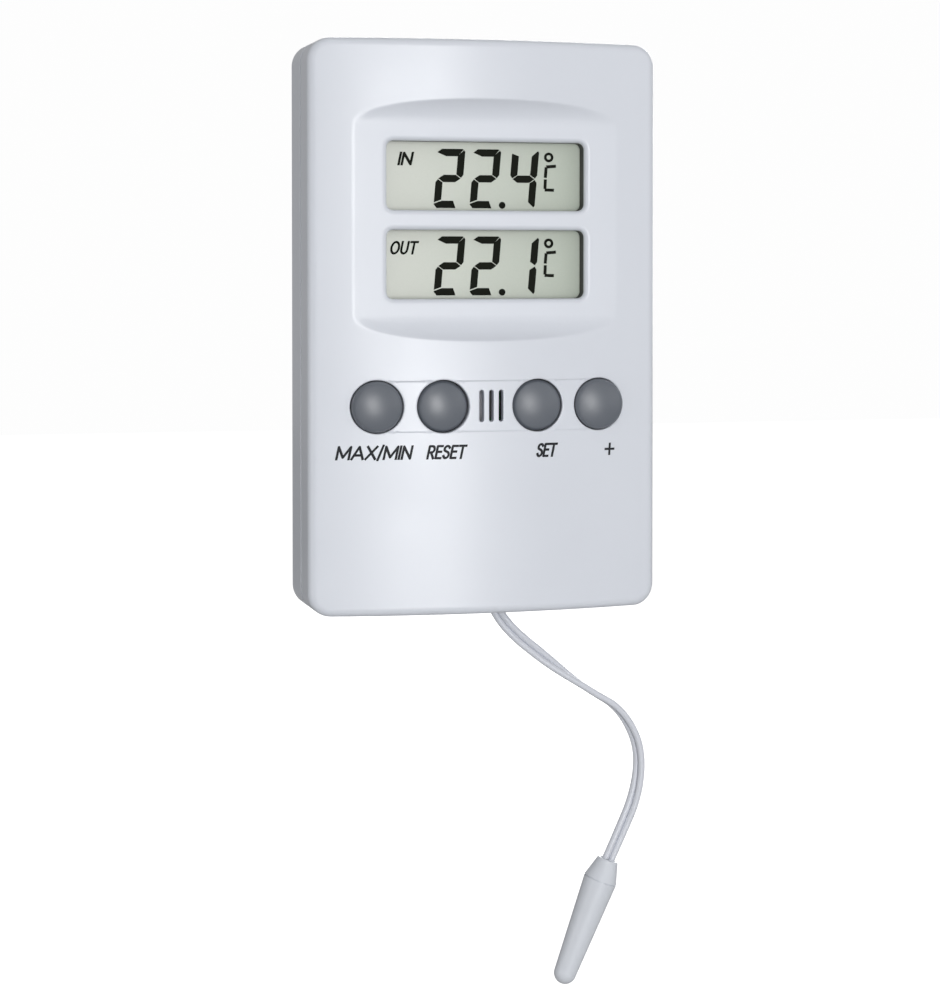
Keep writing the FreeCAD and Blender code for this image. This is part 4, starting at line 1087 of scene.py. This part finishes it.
class THERMOMETER_OT_stage(bpy.types.Operator):
    """Set the floor, the pale room and the lights"""
    bl_idname = "thermometer.stage"
    bl_label = "Stage"

    def execute(self, context):
        material, tree, shader = new_material("white_paper_sweep", Roughness=0.9)
        shader.inputs["Base Color"].default_value = linear("#9C9C9C")
        shader.inputs["Emission Color"].default_value = linear("#FFFFFF")
        tree.links.new(camera_glow(tree, 0.0, 0.885), shader.inputs["Emission Strength"])
        floor = sweep("paper_sweep", material)

        world = bpy.data.worlds.new("pale_room")
        world.use_nodes = True
        room = world.node_tree
        room.nodes.clear()
        sky = add_node(room, "ShaderNodeBackground", {
            "Color": (1, 1, 1, 1), "Strength": camera_glow(room, 0.40, 0.985)})
        add_node(room, "ShaderNodeOutputWorld", {"Surface": sky.outputs["Background"]})
        context.scene.world = world

        target = Vector((0, 0, FACE_Z * MM))
        key = softbox("key_light", (0.025, -1.1, -0.06), target, (0.28, 0.55), 6.5)
        key.rotation_euler.rotate_axis("Z", math.radians(11))
        softbox("left_fill", (-0.7, -0.25, -0.16), target, (0.3, 0.3), 0.62)
        softbox("right_fill", (0.8, -0.8, 0.1), target, (0.5, 0.6), 1.0)
        softbox("rear_fill", (0.5, 1.0, 0.3), target, (0.8, 0.8), 9.0)
        context.scene.view_settings.view_transform = "Standard"
        return {"FINISHED"}


STEPS = (THERMOMETER_OT_camera, THERMOMETER_OT_lead, THERMOMETER_OT_probe, THERMOMETER_OT_shells,
         THERMOMETER_OT_display, THERMOMETER_OT_lettering, THERMOMETER_OT_buttons,
         THERMOMETER_OT_electronics, THERMOMETER_OT_battery, THERMOMETER_OT_stage)


class THERMOMETER_PT_panel(bpy.types.Panel):
    """Sizes, colours and steps of the thermometer"""
    bl_idname = "THERMOMETER_PT_panel"
    bl_label = "Thermometer"
    bl_space_type = "VIEW_3D"
    bl_region_type = "UI"
    bl_category = "Thermometer"

    def draw(self, context):
        for values in (context.scene.thermometer_sizes, context.scene.thermometer_colours):
            for name in values.__annotations__:
                self.layout.prop(values, name)
        for step in STEPS:
            self.layout.operator(step.bl_idname)


CLASSES = (ThermometerSizes, ThermometerColours) + STEPS + (THERMOMETER_PT_panel,)


def register():
    for item in CLASSES:
        bpy.utils.register_class(item)
    bpy.types.Scene.thermometer_sizes = bpy.props.PointerProperty(type=ThermometerSizes)
    bpy.types.Scene.thermometer_colours = bpy.props.PointerProperty(type=ThermometerColours)


def unregister():
    del bpy.types.Scene.thermometer_colours
    del bpy.types.Scene.thermometer_sizes
    for item in reversed(CLASSES):
        bpy.utils.unregister_class(item)


def main():
    register()
    bpy.ops.thermometer.camera()
    bpy.ops.thermometer.lead()
    bpy.ops.thermometer.probe()
    bpy.ops.thermometer.shells()
    bpy.ops.thermometer.display()
    bpy.ops.thermometer.lettering()
    bpy.ops.thermometer.buttons()
    bpy.ops.thermometer.electronics()
    bpy.ops.thermometer.battery()
    bpy.ops.thermometer.stage()


if __name__ == "__main__":
    main()
